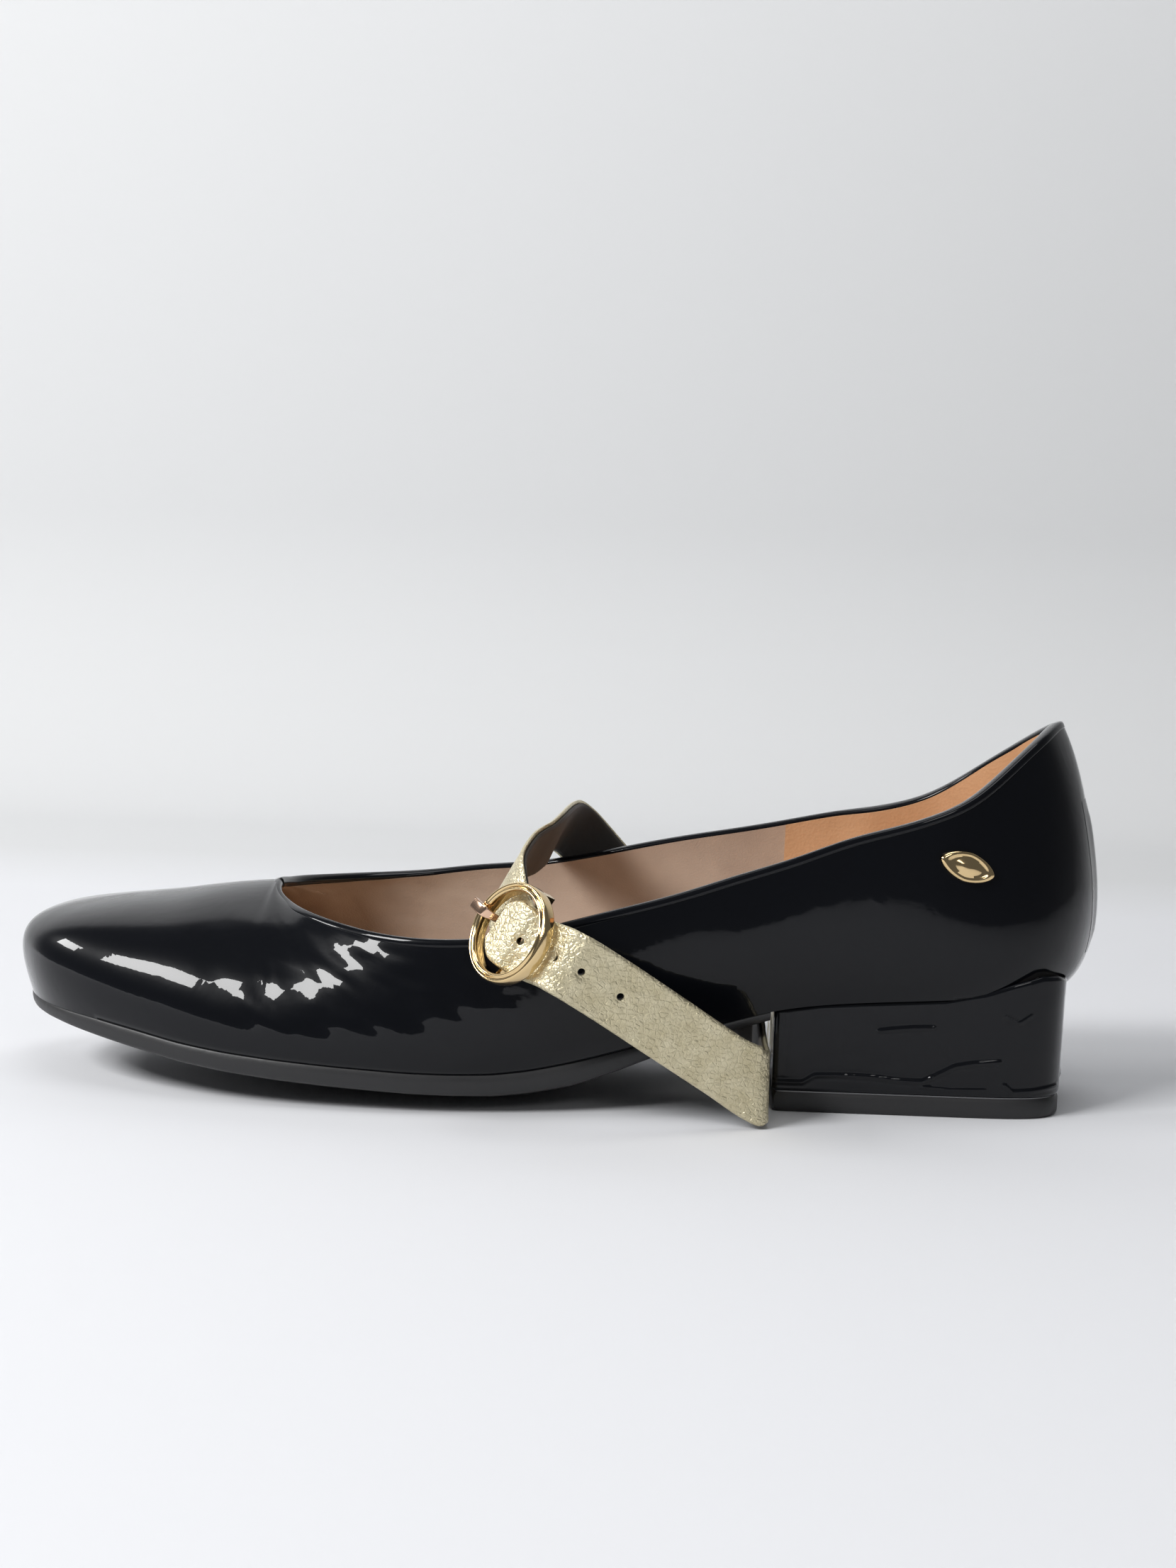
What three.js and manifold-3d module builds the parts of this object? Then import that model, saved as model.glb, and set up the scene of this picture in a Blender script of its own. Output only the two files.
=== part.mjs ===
// Left low-heeled patent pump with a detachable gold instep strap.
// Millimetres, +Z up, toe towards -X, outer (lateral) side towards -Y.
// The floor is z = 0: the ball of the sole and the heel top piece touch it.
import * as THREE from 'three';
import { mergeVertices } from 'three/addons/utils/BufferGeometryUtils.js';
import Module from 'manifold-3d';

// ---------------------------------------------------------------- dimensions
const T_UPPER = 1.2;        // patent upper thickness
const T_LINING = 0.9;       // lining thickness
const T_PUFF = 0.8;         // toe puff and heel counter thickness
const GAP = 0.35;           // clearance between bonded layers
const BOARD_T = 2.0;        // insole board
const SOCK_T = 0.9;         // sock liner
const PAD_T = 2.0;          // heel pad foam
const MARGIN_W = 11;        // lasting margin turned under the insole board
const TOP_PIECE_T = 4.6;    // rubber heel top piece
const COVER_T = 0.8;        // patent heel cover
const STRAP_HALF = 7.5;     // half width of the strap
const RING_R = 11.45;       // buckle ring outer radius
const RING_RI = 9.3;        // buckle ring inner radius
const RING_H = 1.75;        // half thickness of the ring along its axis
const BAR_R = 0.9;          // centre bar radius
const BAR_N = -4.0;         // centre bar, behind the ring's mid plane
const BREAST_X = 51.4;      // heel breast plane
const HEEL_BACK_X = 118.3;  // heel back at the floor

// outline stations toe -> heel: [Bx, By_lat, Bx_med, By_med, lat T, med T]
const ST = [
  [-127.2, 4, -127.2, 4, [-100, 2, 42.0], [-100, 2, 42.0]],
  [-126.3, -3.5, -126.2, 11.5, [-100, 2, 42.0], [-100, 2, 42.0]],
  [-123.3, -10.5, -122.9, 18, [-100, 2, 42.0], [-100, 2, 42.0]],
  [-118.5, -16.8, -117.5, 24, [-100, 2, 42.0], [-100, 2, 42.0]],
  [-112, -22.2, -110.5, 29, [-100, 2, 42.0], [-100, 2, 42.0]],
  [-103.5, -27, -102, 33, [-96.5, 1.7, 42.45], [-96.5, 1.7, 42.45]],
  [-93.5, -31.2, -92, 36.3, [-91, 1.2, 43.2], [-91, 1.2, 43.2]],
  [-83.5, -34.6, -82.5, 38.5, [-83.5, 0.7, 44.4], [-83.5, 0.7, 44.4]],
  [-74, -37, -73, 39.7, [-75.5, 0.3, 45.5], [-75.5, 0.3, 45.5]],
  [-66, -38.5, -65.5, 40, [-67.4, 0, 46.3], [-67.4, 0, 46.3]],
  [-60.5, -39.3, -60, 40, [-66.0, -7.5, 44.7], [-66.7, 7.5, 45.7]],
  [-54.5, -39.9, -54, 39.6, [-62.2, -14, 43.0], [-64.5, 15, 45.0]],
  [-48, -40.3, -48, 39, [-56.5, -22, 41.9], [-58.5, 23, 44.4]],
  [-40.5, -40.5, -41, 37.8, [-46.5, -30, 40.2], [-49, 30, 44.1]],
  [-31.5, -40.5, -32, 35.8, [-34.5, -35.8, 38.8], [-36, 35, 44.4]],
  [-21, -39.7, -21.5, 33.3, [-22, -37.8, 38.6], [-23, 36.6, 45.8]],
  [-9, -38, -9, 30.3, [-9, -37.8, 39.9], [-9, 36.0, 47.2]],
  [4, -35.7, 4, 27.3, [4, -36.3, 43.0], [4, 33.8, 49.6]],
  [17, -33, 17, 25, [17, -35, 46.5], [17, 32, 52.7]],
  [30, -30.4, 30, 23.7, [30, -33.4, 50.1], [30, 30.6, 55.6]],
  [42, -28.6, 42, 23.5, [42, -31.4, 54.0], [42, 29.4, 57.9]],
  [54.8, -27.3, 54.8, 23.8, [54.8, -30.1, 58.2], [54.8, 28.6, 60.5]],
  [55.3, -27.25, 55.3, 23.85, [55.3, -30.05, 58.4], [55.3, 28.55, 60.6]],
  [67, -26.9, 67, 24.5, [67, -29.4, 62.8], [67, 28, 63.1]],
  [78, -27, 78, 25.4, [78, -28.8, 66.0], [78, 28, 65.0]],
  [88, -26.9, 88, 25.8, [88, -27.5, 69.3], [87.5, 27, 67.6]],
  [97, -26, 97, 25.2, [95.5, -24.8, 73.0], [95.3, 25, 71.6]],
  [105, -23.6, 105, 23.2, [102, -20.8, 78.0], [102.3, 21.2, 76.6]],
  [112, -18.8, 112, 18.8, [108, -16, 83.1], [108, 16, 81.2]],
  [117.3, -12, 117.3, 12, [112.5, -11, 86.5], [112.3, 11, 84.8]],
  [120.4, -5, 120.4, 5, [116, -4.5, 88.7], [116.1, 4.5, 88.0]],
  [121.5, 0, 121.5, 0, [117.5, 0, 89.0], [117.5, 0, 89.0]],
];
// wall profile handles per station: [a1, c1, a2, c2]
const HD = [
  [6.0, 17.3, 29.3, 3.6], [6.0, 17.2, 29, 3.5], [5.2, 17, 27.5, 3.4], [5.2, 16.6, 26.5, 3.0],
  [5.1, 16.4, 25.5, 2.4], [5.0, 16.4, 24.5, 1.8], [5.0, 16.6, 24, 1.4], [5.0, 16.8, 24, 1.1],
  [4.8, 16.6, 22, 1.0], [4.6, 16.2, 20, 1.0], [4.5, 15.8, 17, 1.4], [4.4, 15.2, 13.5, 2.0],
  [4.2, 14.4, 9.5, 3.2], [4.0, 13.2, 6, 5.0], [3.8, 12, 3.6, 7.6], [3.9, 11, 2.6, 9.8],
  [4.3, 11, 2.4, 10.8], [4.7, 11.4, 2.3, 11.5], [5.0, 12, 2.2, 12], [5.1, 12, 2.1, 12.6],
  [5.1, 12, 2.1, 13.2], [5.2, 12, 2.1, 13.8], [5.2, 12, 2.1, 13.8], [5.3, 12.2, 2.1, 14.6],
  [5.4, 12.6, 2.2, 15.4], [5.8, 12.8, 2.4, 16.2], [6.4, 12.8, 2.8, 16.8], [7.4, 12.6, 3.8, 17.2],
  [8.6, 12, 5.5, 17.4], [9.5, 11, 7.4, 17.6], [10.0, 10, 8.8, 17.7], [10.1, 9.5, 9.3, 17.7],
];
const K = ST.length - 1;
// feather line height, sole underside at the centre line, and sole thickness, along x
const ZF = [[-128, 18.7], [-121, 17.9], [-106, 16.6], [-94, 14.9], [-83, 13.1], [-72, 11.9], [-61, 11.1], [-46, 10.2], [-30, 9.4], [-20, 9.2], [-11, 9.3], [-3, 10.2], [7, 12.1], [17, 14.5], [30, 18], [43, 21.6], [52, 24], [62, 25.4], [74, 26.4], [90, 27.4], [105, 28.3], [122, 28.6]];
const ZC = [[-128, 15.9], [-116, 12.9], [-106, 10.2], [-94, 7.2], [-83, 4.7], [-72, 2.6], [-61, 1.1], [-50, 0.25], [-42, 0], [-12, 0], [-4, 0.5], [4, 2.2], [12, 5.2], [20, 8.8], [30, 13.4], [43, 18.6], [52, 21.3]];
const TH = [[-128, 2.6], [-116, 2.9], [-106, 3.6], [-94, 3.9], [-46, 4.1], [-20, 4.4], [-2, 4.6], [7, 4.8], [17, 4], [30, 2.6], [43, 2.0], [52, 1.8]];
const ZSEAT = [[52, 23.4], [62, 24.6], [74, 25.4], [90, 26.2], [105, 27.0], [122, 28.3]];
const ZRIM = [[51, 23.6], [62, 25.4], [74, 26.3], [90, 27.4], [99, 29.3], [105.5, 31.5], [112, 33.2], [116, 33.0], [118, 32.0]];

const lerpT = (tb, x) => {
  if (x <= tb[0][0]) return tb[0][1];
  for (let i = 1; i < tb.length; i++) if (x <= tb[i][0]) {
    const [x0, y0] = tb[i - 1], [x1, y1] = tb[i];
    return y0 + (y1 - y0) * (x - x0) / (x1 - x0);
  }
  return tb[tb.length - 1][1];
};
const clamp = (v, a, b) => Math.min(b, Math.max(a, v));
const smooth = (x, a, b) => { const t = clamp((x - a) / (b - a), 0, 1); return t * t * (3 - 2 * t); };
const add = (a, b, s = 1) => [a[0] + b[0] * s, a[1] + b[1] * s, a[2] + b[2] * s];
const sub = (a, b) => [a[0] - b[0], a[1] - b[1], a[2] - b[2]];
const dot = (a, b) => a[0] * b[0] + a[1] * b[1] + a[2] * b[2];
const cross = (a, b) => [a[1] * b[2] - a[2] * b[1], a[2] * b[0] - a[0] * b[2], a[0] * b[1] - a[1] * b[0]];
const norm = (a) => { const l = Math.hypot(...a) || 1; return [a[0] / l, a[1] / l, a[2] / l]; };

// ---------------------------------------------------------------- outline
const bp = (k, s) => (s < 0 ? [ST[k][0], ST[k][1]] : [ST[k][2], ST[k][3]]);
const outN = (k, s) => {
  // plan normal of the outline, from the neighbouring stations
  const nx = (kk) => (kk < 0 ? bp(-kk, -s) : kk > K ? bp(2 * K - kk, -s) : bp(kk, s));
  const a = nx(k - 1), b = nx(k + 1);
  const d = [b[0] - a[0], b[1] - a[1]];
  const l = Math.hypot(...d);
  return [s < 0 ? d[1] / l : -d[1] / l, s < 0 ? -d[0] / l : d[0] / l];
};
const edge = (k, s, inset) => { const b = bp(k, s), n = outN(k, s); return [b[0] - n[0] * inset, b[1] - n[1] * inset]; };
const edgeF = (q, s, inset) => {
  const k = Math.min(K - 1, Math.floor(q)), f = q - k, a = edge(k, s, inset), b = edge(k + 1, s, inset);
  return [a[0] + (b[0] - a[0]) * f, a[1] + (b[1] - a[1]) * f];
};
// underside of the upper: convex across the forepart, cupped at the heel seat
const halfAt = (x) => {
  const f = (s) => { for (let k = 1; k <= K; k++) { const a = bp(k - 1, s), b = bp(k, s); if (x <= b[0]) { const u = clamp((x - a[0]) / (b[0] - a[0]), 0, 1); return a[1] + (b[1] - a[1]) * u; } } return 0; };
  return [f(-1), f(1)];
};
const zsb = (x, y) => {
  const [l, m] = halfAt(clamp(x, -127.2, 121.4));
  const c = (l + m) / 2, h = Math.max(3, (m - l) / 2), e = clamp(Math.abs((y - c) / h), 0, 1);
  const zf = lerpT(ZF, x);
  const zc = x < 52 ? lerpT(ZC, x) + lerpT(TH, x) + GAP : lerpT(ZSEAT, x);
  return zc + (zf - zc) * Math.pow(e, 2.2);
};

// ---------------------------------------------------------------- upper grid
const TS = [0, 0.07, 0.17, 0.29, 0.42, 0.56, 0.7, 0.85, 1];
const M = TS.length - 1;
const MR = [MARGIN_W, 6, 2.5];        // margin rows, inwards
const bez = (k, s) => {
  const [bx, by] = bp(k, s), T = s < 0 ? ST[k][4] : ST[k][5], n1 = outN(k, s), h = HD[k];
  const B = [bx, by, lerpT(ZF, bx)];
  let n2 = n1;
  const dx = bx - T[0], dy = by - T[1], l = Math.hypot(dx, dy), w = clamp((15 - k) / 5, 0, 1);
  n2 = norm([n1[0] * (1 - w) + w * dx / l, n1[1] * (1 - w) + w * dy / l, 0]);
  return [B, [B[0] + n1[0] * h[0], B[1] + n1[1] * h[0], B[2] + h[1]], [T[0] + n2[0] * h[2], T[1] + n2[1] * h[2], T[2] - h[3]], T];
};
const colPts = (k, s) => {
  const out = MR.map((w) => { const e = edge(k, s, w); return [e[0], e[1], zsb(e[0], e[1])]; });
  const P = bez(k, s);
  for (const t of TS) {
    const a = (1 - t) ** 3, b = 3 * t * (1 - t) ** 2, c = 3 * t * t * (1 - t), d = t ** 3;
    out.push([0, 1, 2].map((i) => a * P[0][i] + b * P[1][i] + c * P[2][i] + d * P[3][i]));
  }
  return out;
};
const NR = MR.length + M + 1, RB = MR.length;
const key = (p) => p.map((v) => v.toFixed(4)).join(',');
const VID = new Map(), V = [];
const vid = (p) => { const s = key(p); if (!VID.has(s)) { VID.set(s, V.length); V.push(p); } return VID.get(s); };
const colId = {};
for (let k = 0; k <= K; k++) for (const s of [-1, 1]) colId[k + ',' + s] = colPts(k, s).map(vid);
// faces of the sheet, outward: [ids, station, side, row]
const F = [];
for (let k = 0; k < K; k++) for (const s of [-1, 1]) {
  const a = colId[k + ',' + s], b = colId[(k + 1) + ',' + s];
  for (let r = 0; r < NR - 1; r++) {
    const q = s < 0 ? [a[r], b[r], b[r + 1], a[r + 1]] : [b[r], a[r], a[r + 1], b[r + 1]];
    const u = q.filter((v, i) => v !== q[(i + 3) % 4]);
    if (u.length >= 3) F.push([u, k, s, r]);
  }
}
const VN = V.map(() => [0, 0, 0]);
for (const [q] of F) for (let i = 1; i < q.length - 1; i++) {
  const n = cross(sub(V[q[i]], V[q[0]]), sub(V[q[i + 1]], V[q[0]]));
  for (const v of [q[0], q[i], q[i + 1]]) VN[v] = add(VN[v], n);
}
for (let i = 0; i < VN.length; i++) VN[i] = norm(VN[i]);

// ---------------------------------------------------------------- solids
const geo = (verts, tris) => {
  const g = new THREE.BufferGeometry();
  g.setAttribute('position', new THREE.Float32BufferAttribute(verts.flat(), 3));
  g.setIndex(tris.flat());
  return g;
};
// closed solid between two offsets of a set of sheet faces
const shell = (faces, o1, o2) => {
  const used = new Map(), verts = [], tris = [];
  const off = (id, o) => add(V[id], VN[id], typeof o === 'function' ? o(V[id]) : o);
  const get = (id) => { if (!used.has(id)) { used.set(id, verts.length); verts.push(off(id, o1), off(id, o2)); } return used.get(id); };
  const ed = new Map();
  for (const [q] of faces) {
    const g = q.map(get);
    for (let i = 1; i < g.length - 1; i++) {
      tris.push([g[0], g[i], g[i + 1]], [g[0] + 1, g[i + 1] + 1, g[i] + 1]);
    }
    for (let i = 0; i < g.length; i++) {
      const a = g[i], b = g[(i + 1) % g.length];
      if (ed.has(b + '_' + a)) ed.delete(b + '_' + a); else ed.set(a + '_' + b, [a, b]);
    }
  }
  for (const [a, b] of ed.values()) tris.push([b, a, a + 1], [b, a + 1, b + 1]);
  return geo(verts, tris);
};
// slab laid on the underside surface between two heights
const slab = (q0, q1, nq, nj, inset, zb, zt, wide = 1, qs = null) => {
  const L = qs || Array.from({ length: nq + 1 }, (_, i) => q0 + (q1 - q0) * i / nq);
  const verts = [], ids = [];
  for (const q of L) {
    const a = edgeF(q, -1, inset), b = edgeF(q, 1, inset), row = [];
    const cx = (a[0] + b[0]) / 2, cy = (a[1] + b[1]) / 2;
    for (let j = 0; j <= nj; j++) {
      const f = j / nj, x = (a[0] + (b[0] - a[0]) * f - cx) * wide + cx, y = (a[1] + (b[1] - a[1]) * f - cy) * wide + cy;
      row.push(verts.length); verts.push([x, y, zt(x, y)], [x, y, zb(x, y)]);
    }
    ids.push(row);
  }
  const tris = [], quad = (a, b, c, d) => tris.push([a, b, c], [a, c, d]);
  for (let i = 0; i < L.length - 1; i++) for (let j = 0; j < nj; j++) {
    const a = ids[i][j], b = ids[i + 1][j], c = ids[i + 1][j + 1], d = ids[i][j + 1];
    quad(a, b, c, d); quad(a + 1, d + 1, c + 1, b + 1);
  }
  for (let i = 0; i < L.length - 1; i++) {
    let a = ids[i][0], b = ids[i + 1][0]; quad(a, a + 1, b + 1, b);
    a = ids[i][nj]; b = ids[i + 1][nj]; quad(a, b, b + 1, a + 1);
  }
  for (let j = 0; j < nj; j++) {
    let a = ids[0][j], b = ids[0][j + 1]; quad(a, b, b + 1, a + 1);
    const e = L.length - 1; a = ids[e][j]; b = ids[e][j + 1]; quad(a, a + 1, b + 1, b);
  }
  return geo(verts, tris);
};
const wasm = await Module(); wasm.setup();
const toM = (g) => {
  let h = g.clone(); h.deleteAttribute('normal'); h.deleteAttribute('uv');
  h = mergeVertices(h, 1e-4);
  return new wasm.Manifold(new wasm.Mesh({ numProp: 3, vertProperties: new Float32Array(h.attributes.position.array), triVerts: new Uint32Array(h.index.array) }));
};
const fromM = (m) => {
  const r = m.getMesh(), g = new THREE.BufferGeometry();
  g.setAttribute('position', new THREE.BufferAttribute(new Float32Array(r.vertProperties), 3));
  g.setIndex(Array.from(r.triVerts));
  return g;
};
const cyl = (x, y, z0, z1, r, n = 12) => { const g = new THREE.CylinderGeometry(r, r, z1 - z0, n); g.rotateX(Math.PI / 2); g.translate(x, y, (z0 + z1) / 2); return g; };
const cut = (g, ...tools) => fromM(tools.reduce((m, t) => m.subtract(toM(t)), toM(g)));
const join = (g, ...more) => fromM(more.reduce((m, t) => m.add(toM(t)), toM(g)));

const root = new THREE.Group();
const mat = (c, r, m = 0) => new THREE.MeshStandardMaterial({ color: c, roughness: r, metalness: m });
const node = (name, g, material) => { const m = new THREE.Mesh(g, material); m.name = name; root.add(m); return m; };
const PATENT = () => mat(0x05060a, 0.05), TEXT = () => mat(0xb08d6e, 0.8), TAN = () => mat(0xc98a55, 0.6);
const RUB = () => mat(0x1b1b1c, 0.7), GOLDL = () => mat(0xc9bd8c, 0.4, 0.7), GOLD = () => mat(0xd9b070, 0.15, 1);
const BOARD = () => mat(0x9a7b55, 0.9), STEEL = () => mat(0x9a9a9c, 0.4, 1);

// ---------------------------------------------------------------- upper and linings
const isOpen = (k) => k >= 9;
let upper = shell(F, 0, -T_UPPER);
const badgeC = [93.2, 58.0];          // badge centre along X and Z, on the outer side
// stiffener depth blend: deeper lining at toe and heel
const deep = (p) => (T_PUFF + GAP) * Math.max(1 - smooth(p[0], -92, -82), smooth(p[0], 66, 77));
const L1 = (p) => -(T_UPPER + GAP + deep(p)), L2 = (p) => -(T_UPPER + GAP + T_LINING + deep(p));
const wall = (f) => f[3] >= RB + 1;
node('vamp_lining', shell(F.filter((f) => wall(f) && f[1] < 21), L1, L2), TEXT());
node('quarter_lining', shell(F.filter((f) => wall(f) && f[1] >= 22), L1, L2), TAN());
node('toe_puff', shell(F.filter((f) => wall(f) && f[1] < 5), -(T_UPPER + GAP), -(T_UPPER + GAP + T_PUFF)), BOARD());
node('heel_counter', shell(F.filter((f) => wall(f) && f[1] >= 24 && f[3] < RB + 6), -(T_UPPER + GAP), -(T_UPPER + GAP + T_PUFF)), BOARD());
node('back_stay', shell(F.filter((f) => f[3] >= RB + 2 && f[3] < RB + 6 && f[1] >= 30), GAP + 0.55, GAP), PATENT());
// folded edge binding on the topline: one closed loop through the throat
{
  const loop = [];
  for (let k = 9; k <= K; k++) loop.push([k, -1]);
  for (let k = K - 1; k >= 10; k--) loop.push([k, 1]);
  const verts = [], tris = [], n = loop.length;
  const C = loop.map(([k, s]) => V[colId[k + ',' + s][NR - 1]]);
  loop.forEach(([k, s], i) => {
    const p = C[i], a = C[(i + n - 1) % n], b = C[(i + 1) % n];
    const tan = norm(sub(b, a)), vn = VN[colId[k + ',' + s][NR - 1]];
    let up = norm(cross(tan, vn)); if (up[2] < 0) up = up.map((v) => -v);
    if (i === 0) up = norm([0.93, 0, 0.36]);
    const inw = -(T_UPPER + GAP + T_LINING + deep(p));
    const lo = add(p, up, GAP), hi = add(p, up, GAP + 0.7);
    verts.push(add(lo, vn, 0.15), add(hi, vn, 0.0), add(hi, vn, inw), add(lo, vn, inw));
  });
  for (let i = 0; i < n; i++) { const a = i * 4, b = ((i + 1) % n) * 4; for (let j = 0; j < 4; j++) { const u = j, v = (j + 1) % 4; tris.push([a + u, b + u, b + v], [a + u, b + v, a + v]); } }
  let g = geo(verts, tris);
  if (toM(g).volume() < 0) g = geo(verts, tris.map((t) => [t[0], t[2], t[1]]));
  node('topline_binding', g, PATENT());
}

// ---------------------------------------------------------------- bottom
const Z = (d) => (x, y) => zsb(x, y) + d;
const flatZ = (x, y) => { const z = zsb(x, y) - GAP - lerpT(TH, x); return z < 0.2 ? 0 : z; };
const QS = [0.0, 0.25, 0.6, 1, 1.5, 2, 2.7, 3.4, 4.2, 5, 6, 7, 8, 9, 10, 11, 12, 13, 14, 15, 16, 17, 18, 19, 20, 20.68];
const QI = [0.2, 0.6, 1, 1.6, 2.3, 3, 4, 5, 6, 7.5, 9, 11, 13, 14.5, 15.5, 16, 16.5, 17, 17.5, 18, 18.5, 19, 19.5, 20, 20.4, 20.8, 23, 24, 25, 26, 27, 28, 28.8, 29.6, 30.3, 30.8];
let outsole = slab(0, 0, 0, 10, 0.5, flatZ, Z(-GAP), 1, QS);
node('outsole', outsole, RUB());
node('bottom_filler', slab(3, 16.3, 16, 4, 11.6, Z(0), Z(1.1)), BOARD());
node('shank', (() => {
  const verts = [], tris = [], n = 22, yc = (x) => { const [l, m] = halfAt(x); return (l + m) / 2; };
  for (let i = 0; i <= n; i++) {
    const x = 0 + 79 * i / n, w = 6 * Math.sqrt(clamp(Math.min(i + 0.6, n - i + 0.6) / 2, 0, 1));
    for (const s of [-1, 1]) { const y = yc(x) + s * w; verts.push([x, y, zsb(x, yc(x)) + 0.9 + 0.35], [x, y, zsb(x, yc(x)) + 0.15]); }
  }
  const Q = (a, b, c, d) => tris.push([a, b, c], [a, c, d]);
  for (let i = 0; i < n; i++) { const a = i * 4, b = a + 4; Q(a, b, b + 2, a + 2); Q(a + 1, a + 3, b + 3, b + 1); Q(a, a + 1, b + 1, b); Q(a + 2, b + 2, b + 3, a + 3); }
  Q(0, 2, 3, 1); const e = n * 4; Q(e, e + 1, e + 3, e + 2);
  return geo(verts, tris);
})(), STEEL());

const fast = [['heel_screw', 86, -1, 2.0, 4.0, 16], ['heel_nail_1', 67, -9.5, 1.1, 2.3, 17], ['heel_nail_2', 67, 8, 1.1, 2.3, 17], ['heel_nail_3', 100, -8, 1.1, 2.3, 17], ['heel_nail_4', 100, 7, 1.1, 2.3, 17]];
const boardLo = T_UPPER + GAP + 0.15, boardHi = boardLo + BOARD_T;
let board = slab(0, 31, 0, 8, 3.2, Z(boardLo), Z(boardHi), 1, QI);
board = cut(board, ...fast.map(([, x, y, r, rh]) => cyl(x, y, zsb(x, y) - 2, zsb(x, y) + 9, rh + 0.3)));
node('insole_board', board, BOARD());
const lift = (x) => 0.1 + (PAD_T + 0.3) * smooth(x, 52, 66);
node('sock_liner', slab(0, 31, 0, 8, 3.9, (x, y) => zsb(x, y) + boardHi + 0.25 + lift(x), (x, y) => zsb(x, y) + boardHi + 0.25 + lift(x) + SOCK_T, 1,
  QI), TAN());
node('heel_pad', slab(23.2, 29.2, 8, 6, 7.5, Z(boardHi + 0.35), (x, y) => zsb(x, y) + boardHi + 0.35 + PAD_T * (0.35 + 0.6 * smooth(x, 69, 76)) , 1), mat(0xd8c9a0, 0.9));

// ---------------------------------------------------------------- heel
const heelRing = (inset, tz) => {
  // tz 0 at the floor, 1 at the seat
  const xb = BREAST_X + inset, xk = HEEL_BACK_X + 0.8 * tz - inset, yl = -24.8 - 1.9 * tz + inset, ym = 23.2 + 1.4 * tz - inset;
  const pts = [], xm = 84, yc = (yl + ym) / 2, hw = (ym - yl) / 2, n = 14;
  pts.push([xb, yl + 1.2], [xb + 1.2, yl], [xb + 11, yl], [xb + 22, yl]);
  for (let i = 0; i <= n; i++) {
    const th = -Math.PI / 2 + Math.PI * i / n, c = Math.cos(th), s = Math.sin(th), p = 2 / 5.2;
    pts.push([xm + (xk - xm) * Math.pow(Math.abs(c), p), yc + hw * Math.sign(s) * Math.pow(Math.abs(s), p)]);
  }
  pts.push([xb + 22, ym], [xb + 11, ym], [xb + 1.2, ym], [xb, ym - 1.2]);
  for (let i = 1; i < 6; i++) pts.push([xb, ym - 1.2 - (ym - yl - 2.4) * i / 6]);
  return pts;
};
const prism = (inset, z0, top, capZ) => {
  const verts = [], tris = [], flat = heelRing(inset, 1);
  const rings = [0, 1].map((lv) => flat.map(([x, y], i) => {
    const z = lv ? top(x, y) : z0, q = heelRing(inset, z / 30)[i];
    verts.push([q[0], q[1], z]); return verts.length - 1;
  }));
  const n = rings[0].length;
  for (let i = 0; i < n; i++) { const a = rings[0][i], b = rings[0][(i + 1) % n], c = rings[1][(i + 1) % n], d = rings[1][i]; tris.push([a, b, c], [a, c, d]); }
  verts.push([85, -0.8, z0], [85, -0.8, capZ]); const cb = verts.length - 2, ct = verts.length - 1;
  for (let i = 0; i < n; i++) { tris.push([rings[0][(i + 1) % n], rings[0][i], cb], [rings[1][i], rings[1][(i + 1) % n], ct]); }
  return geo(verts, tris);
};
// outer envelope of the shoe over the heel, grown by the bond gap
const envelope = (k0, grow) => {
  const verts = [], tris = [], J = 8, secs = [];
  for (let k = k0; k <= K; k++) {
    const sec = [];
    const L = colId[k + ',-1'], R = colId[k + ',1'];
    for (let r = RB; r < NR; r++) { const p = add(V[L[r]], VN[L[r]], grow); sec.push(p); }
    for (let r = NR - 1; r >= RB; r--) { const p = add(V[R[r]], VN[R[r]], grow); sec.push(p); }
    const a = sec[sec.length - 1], b = sec[0];
    for (let j = 1; j < J; j++) { const f = j / J, x = a[0] + (b[0] - a[0]) * f, y = a[1] + (b[1] - a[1]) * f; sec.push([x, y, Math.min(a[2], zsb(x, y) - grow)]); }
    secs.push(sec.map((p) => { verts.push(p); return verts.length - 1; }));
  }
  const n = secs[0].length;
  for (let i = 0; i < secs.length - 1; i++) for (let j = 0; j < n; j++) {
    const a = secs[i][j], b = secs[i + 1][j], c = secs[i + 1][(j + 1) % n], d = secs[i][(j + 1) % n];
    tris.push([a, b, c], [a, c, d]);
  }
  const m = secs[0].reduce((s, i) => add(s, verts[i], 1 / n), [0, 0, 0]); verts.push(m); const ci = verts.length - 1;
  for (let j = 0; j < n; j++) tris.push([secs[0][(j + 1) % n], ci, secs[0][j]]);
  const g = geo(verts, tris), h = toM(g);
  return h.volume() < 0 ? geo(verts, tris.map((t) => [t[0], t[2], t[1]])) : g;
};
const env = envelope(20, GAP);
const rim = (x) => lerpT(ZRIM, x);
const pins = [['top_piece_pin_1', 66, -1], ['top_piece_pin_2', 104, -1]];
let block = prism(COVER_T + GAP, TOP_PIECE_T + 0.35, (x) => rim(x) - 0.6, 31);
block = cut(block, env, ...fast.map(([, x, y, r, rh, dz]) => cyl(x, y, zsb(x, y) + boardHi - 0.3 - 5 - dz, 40, r + 0.3)), ...pins.map(([, x, y]) => cyl(x, y, 0, 15.4, 1.8)));
node('heel_block', block, mat(0x8f8a80, 0.7));
node('heel_cover', cut(prism(0, TOP_PIECE_T + 0.35, rim, 31), prism(COVER_T, -3, (x) => rim(x) + 9, 50), env), PATENT());
node('top_piece', cut(prism(0.15, 0, () => TOP_PIECE_T, TOP_PIECE_T), ...pins.map(([, x, y]) => cyl(x, y, 1.7, 9, 1.8))), RUB());
for (const [n, x, y] of pins) node(n, cyl(x, y, 2.1, 15, 1.5), STEEL());
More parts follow.
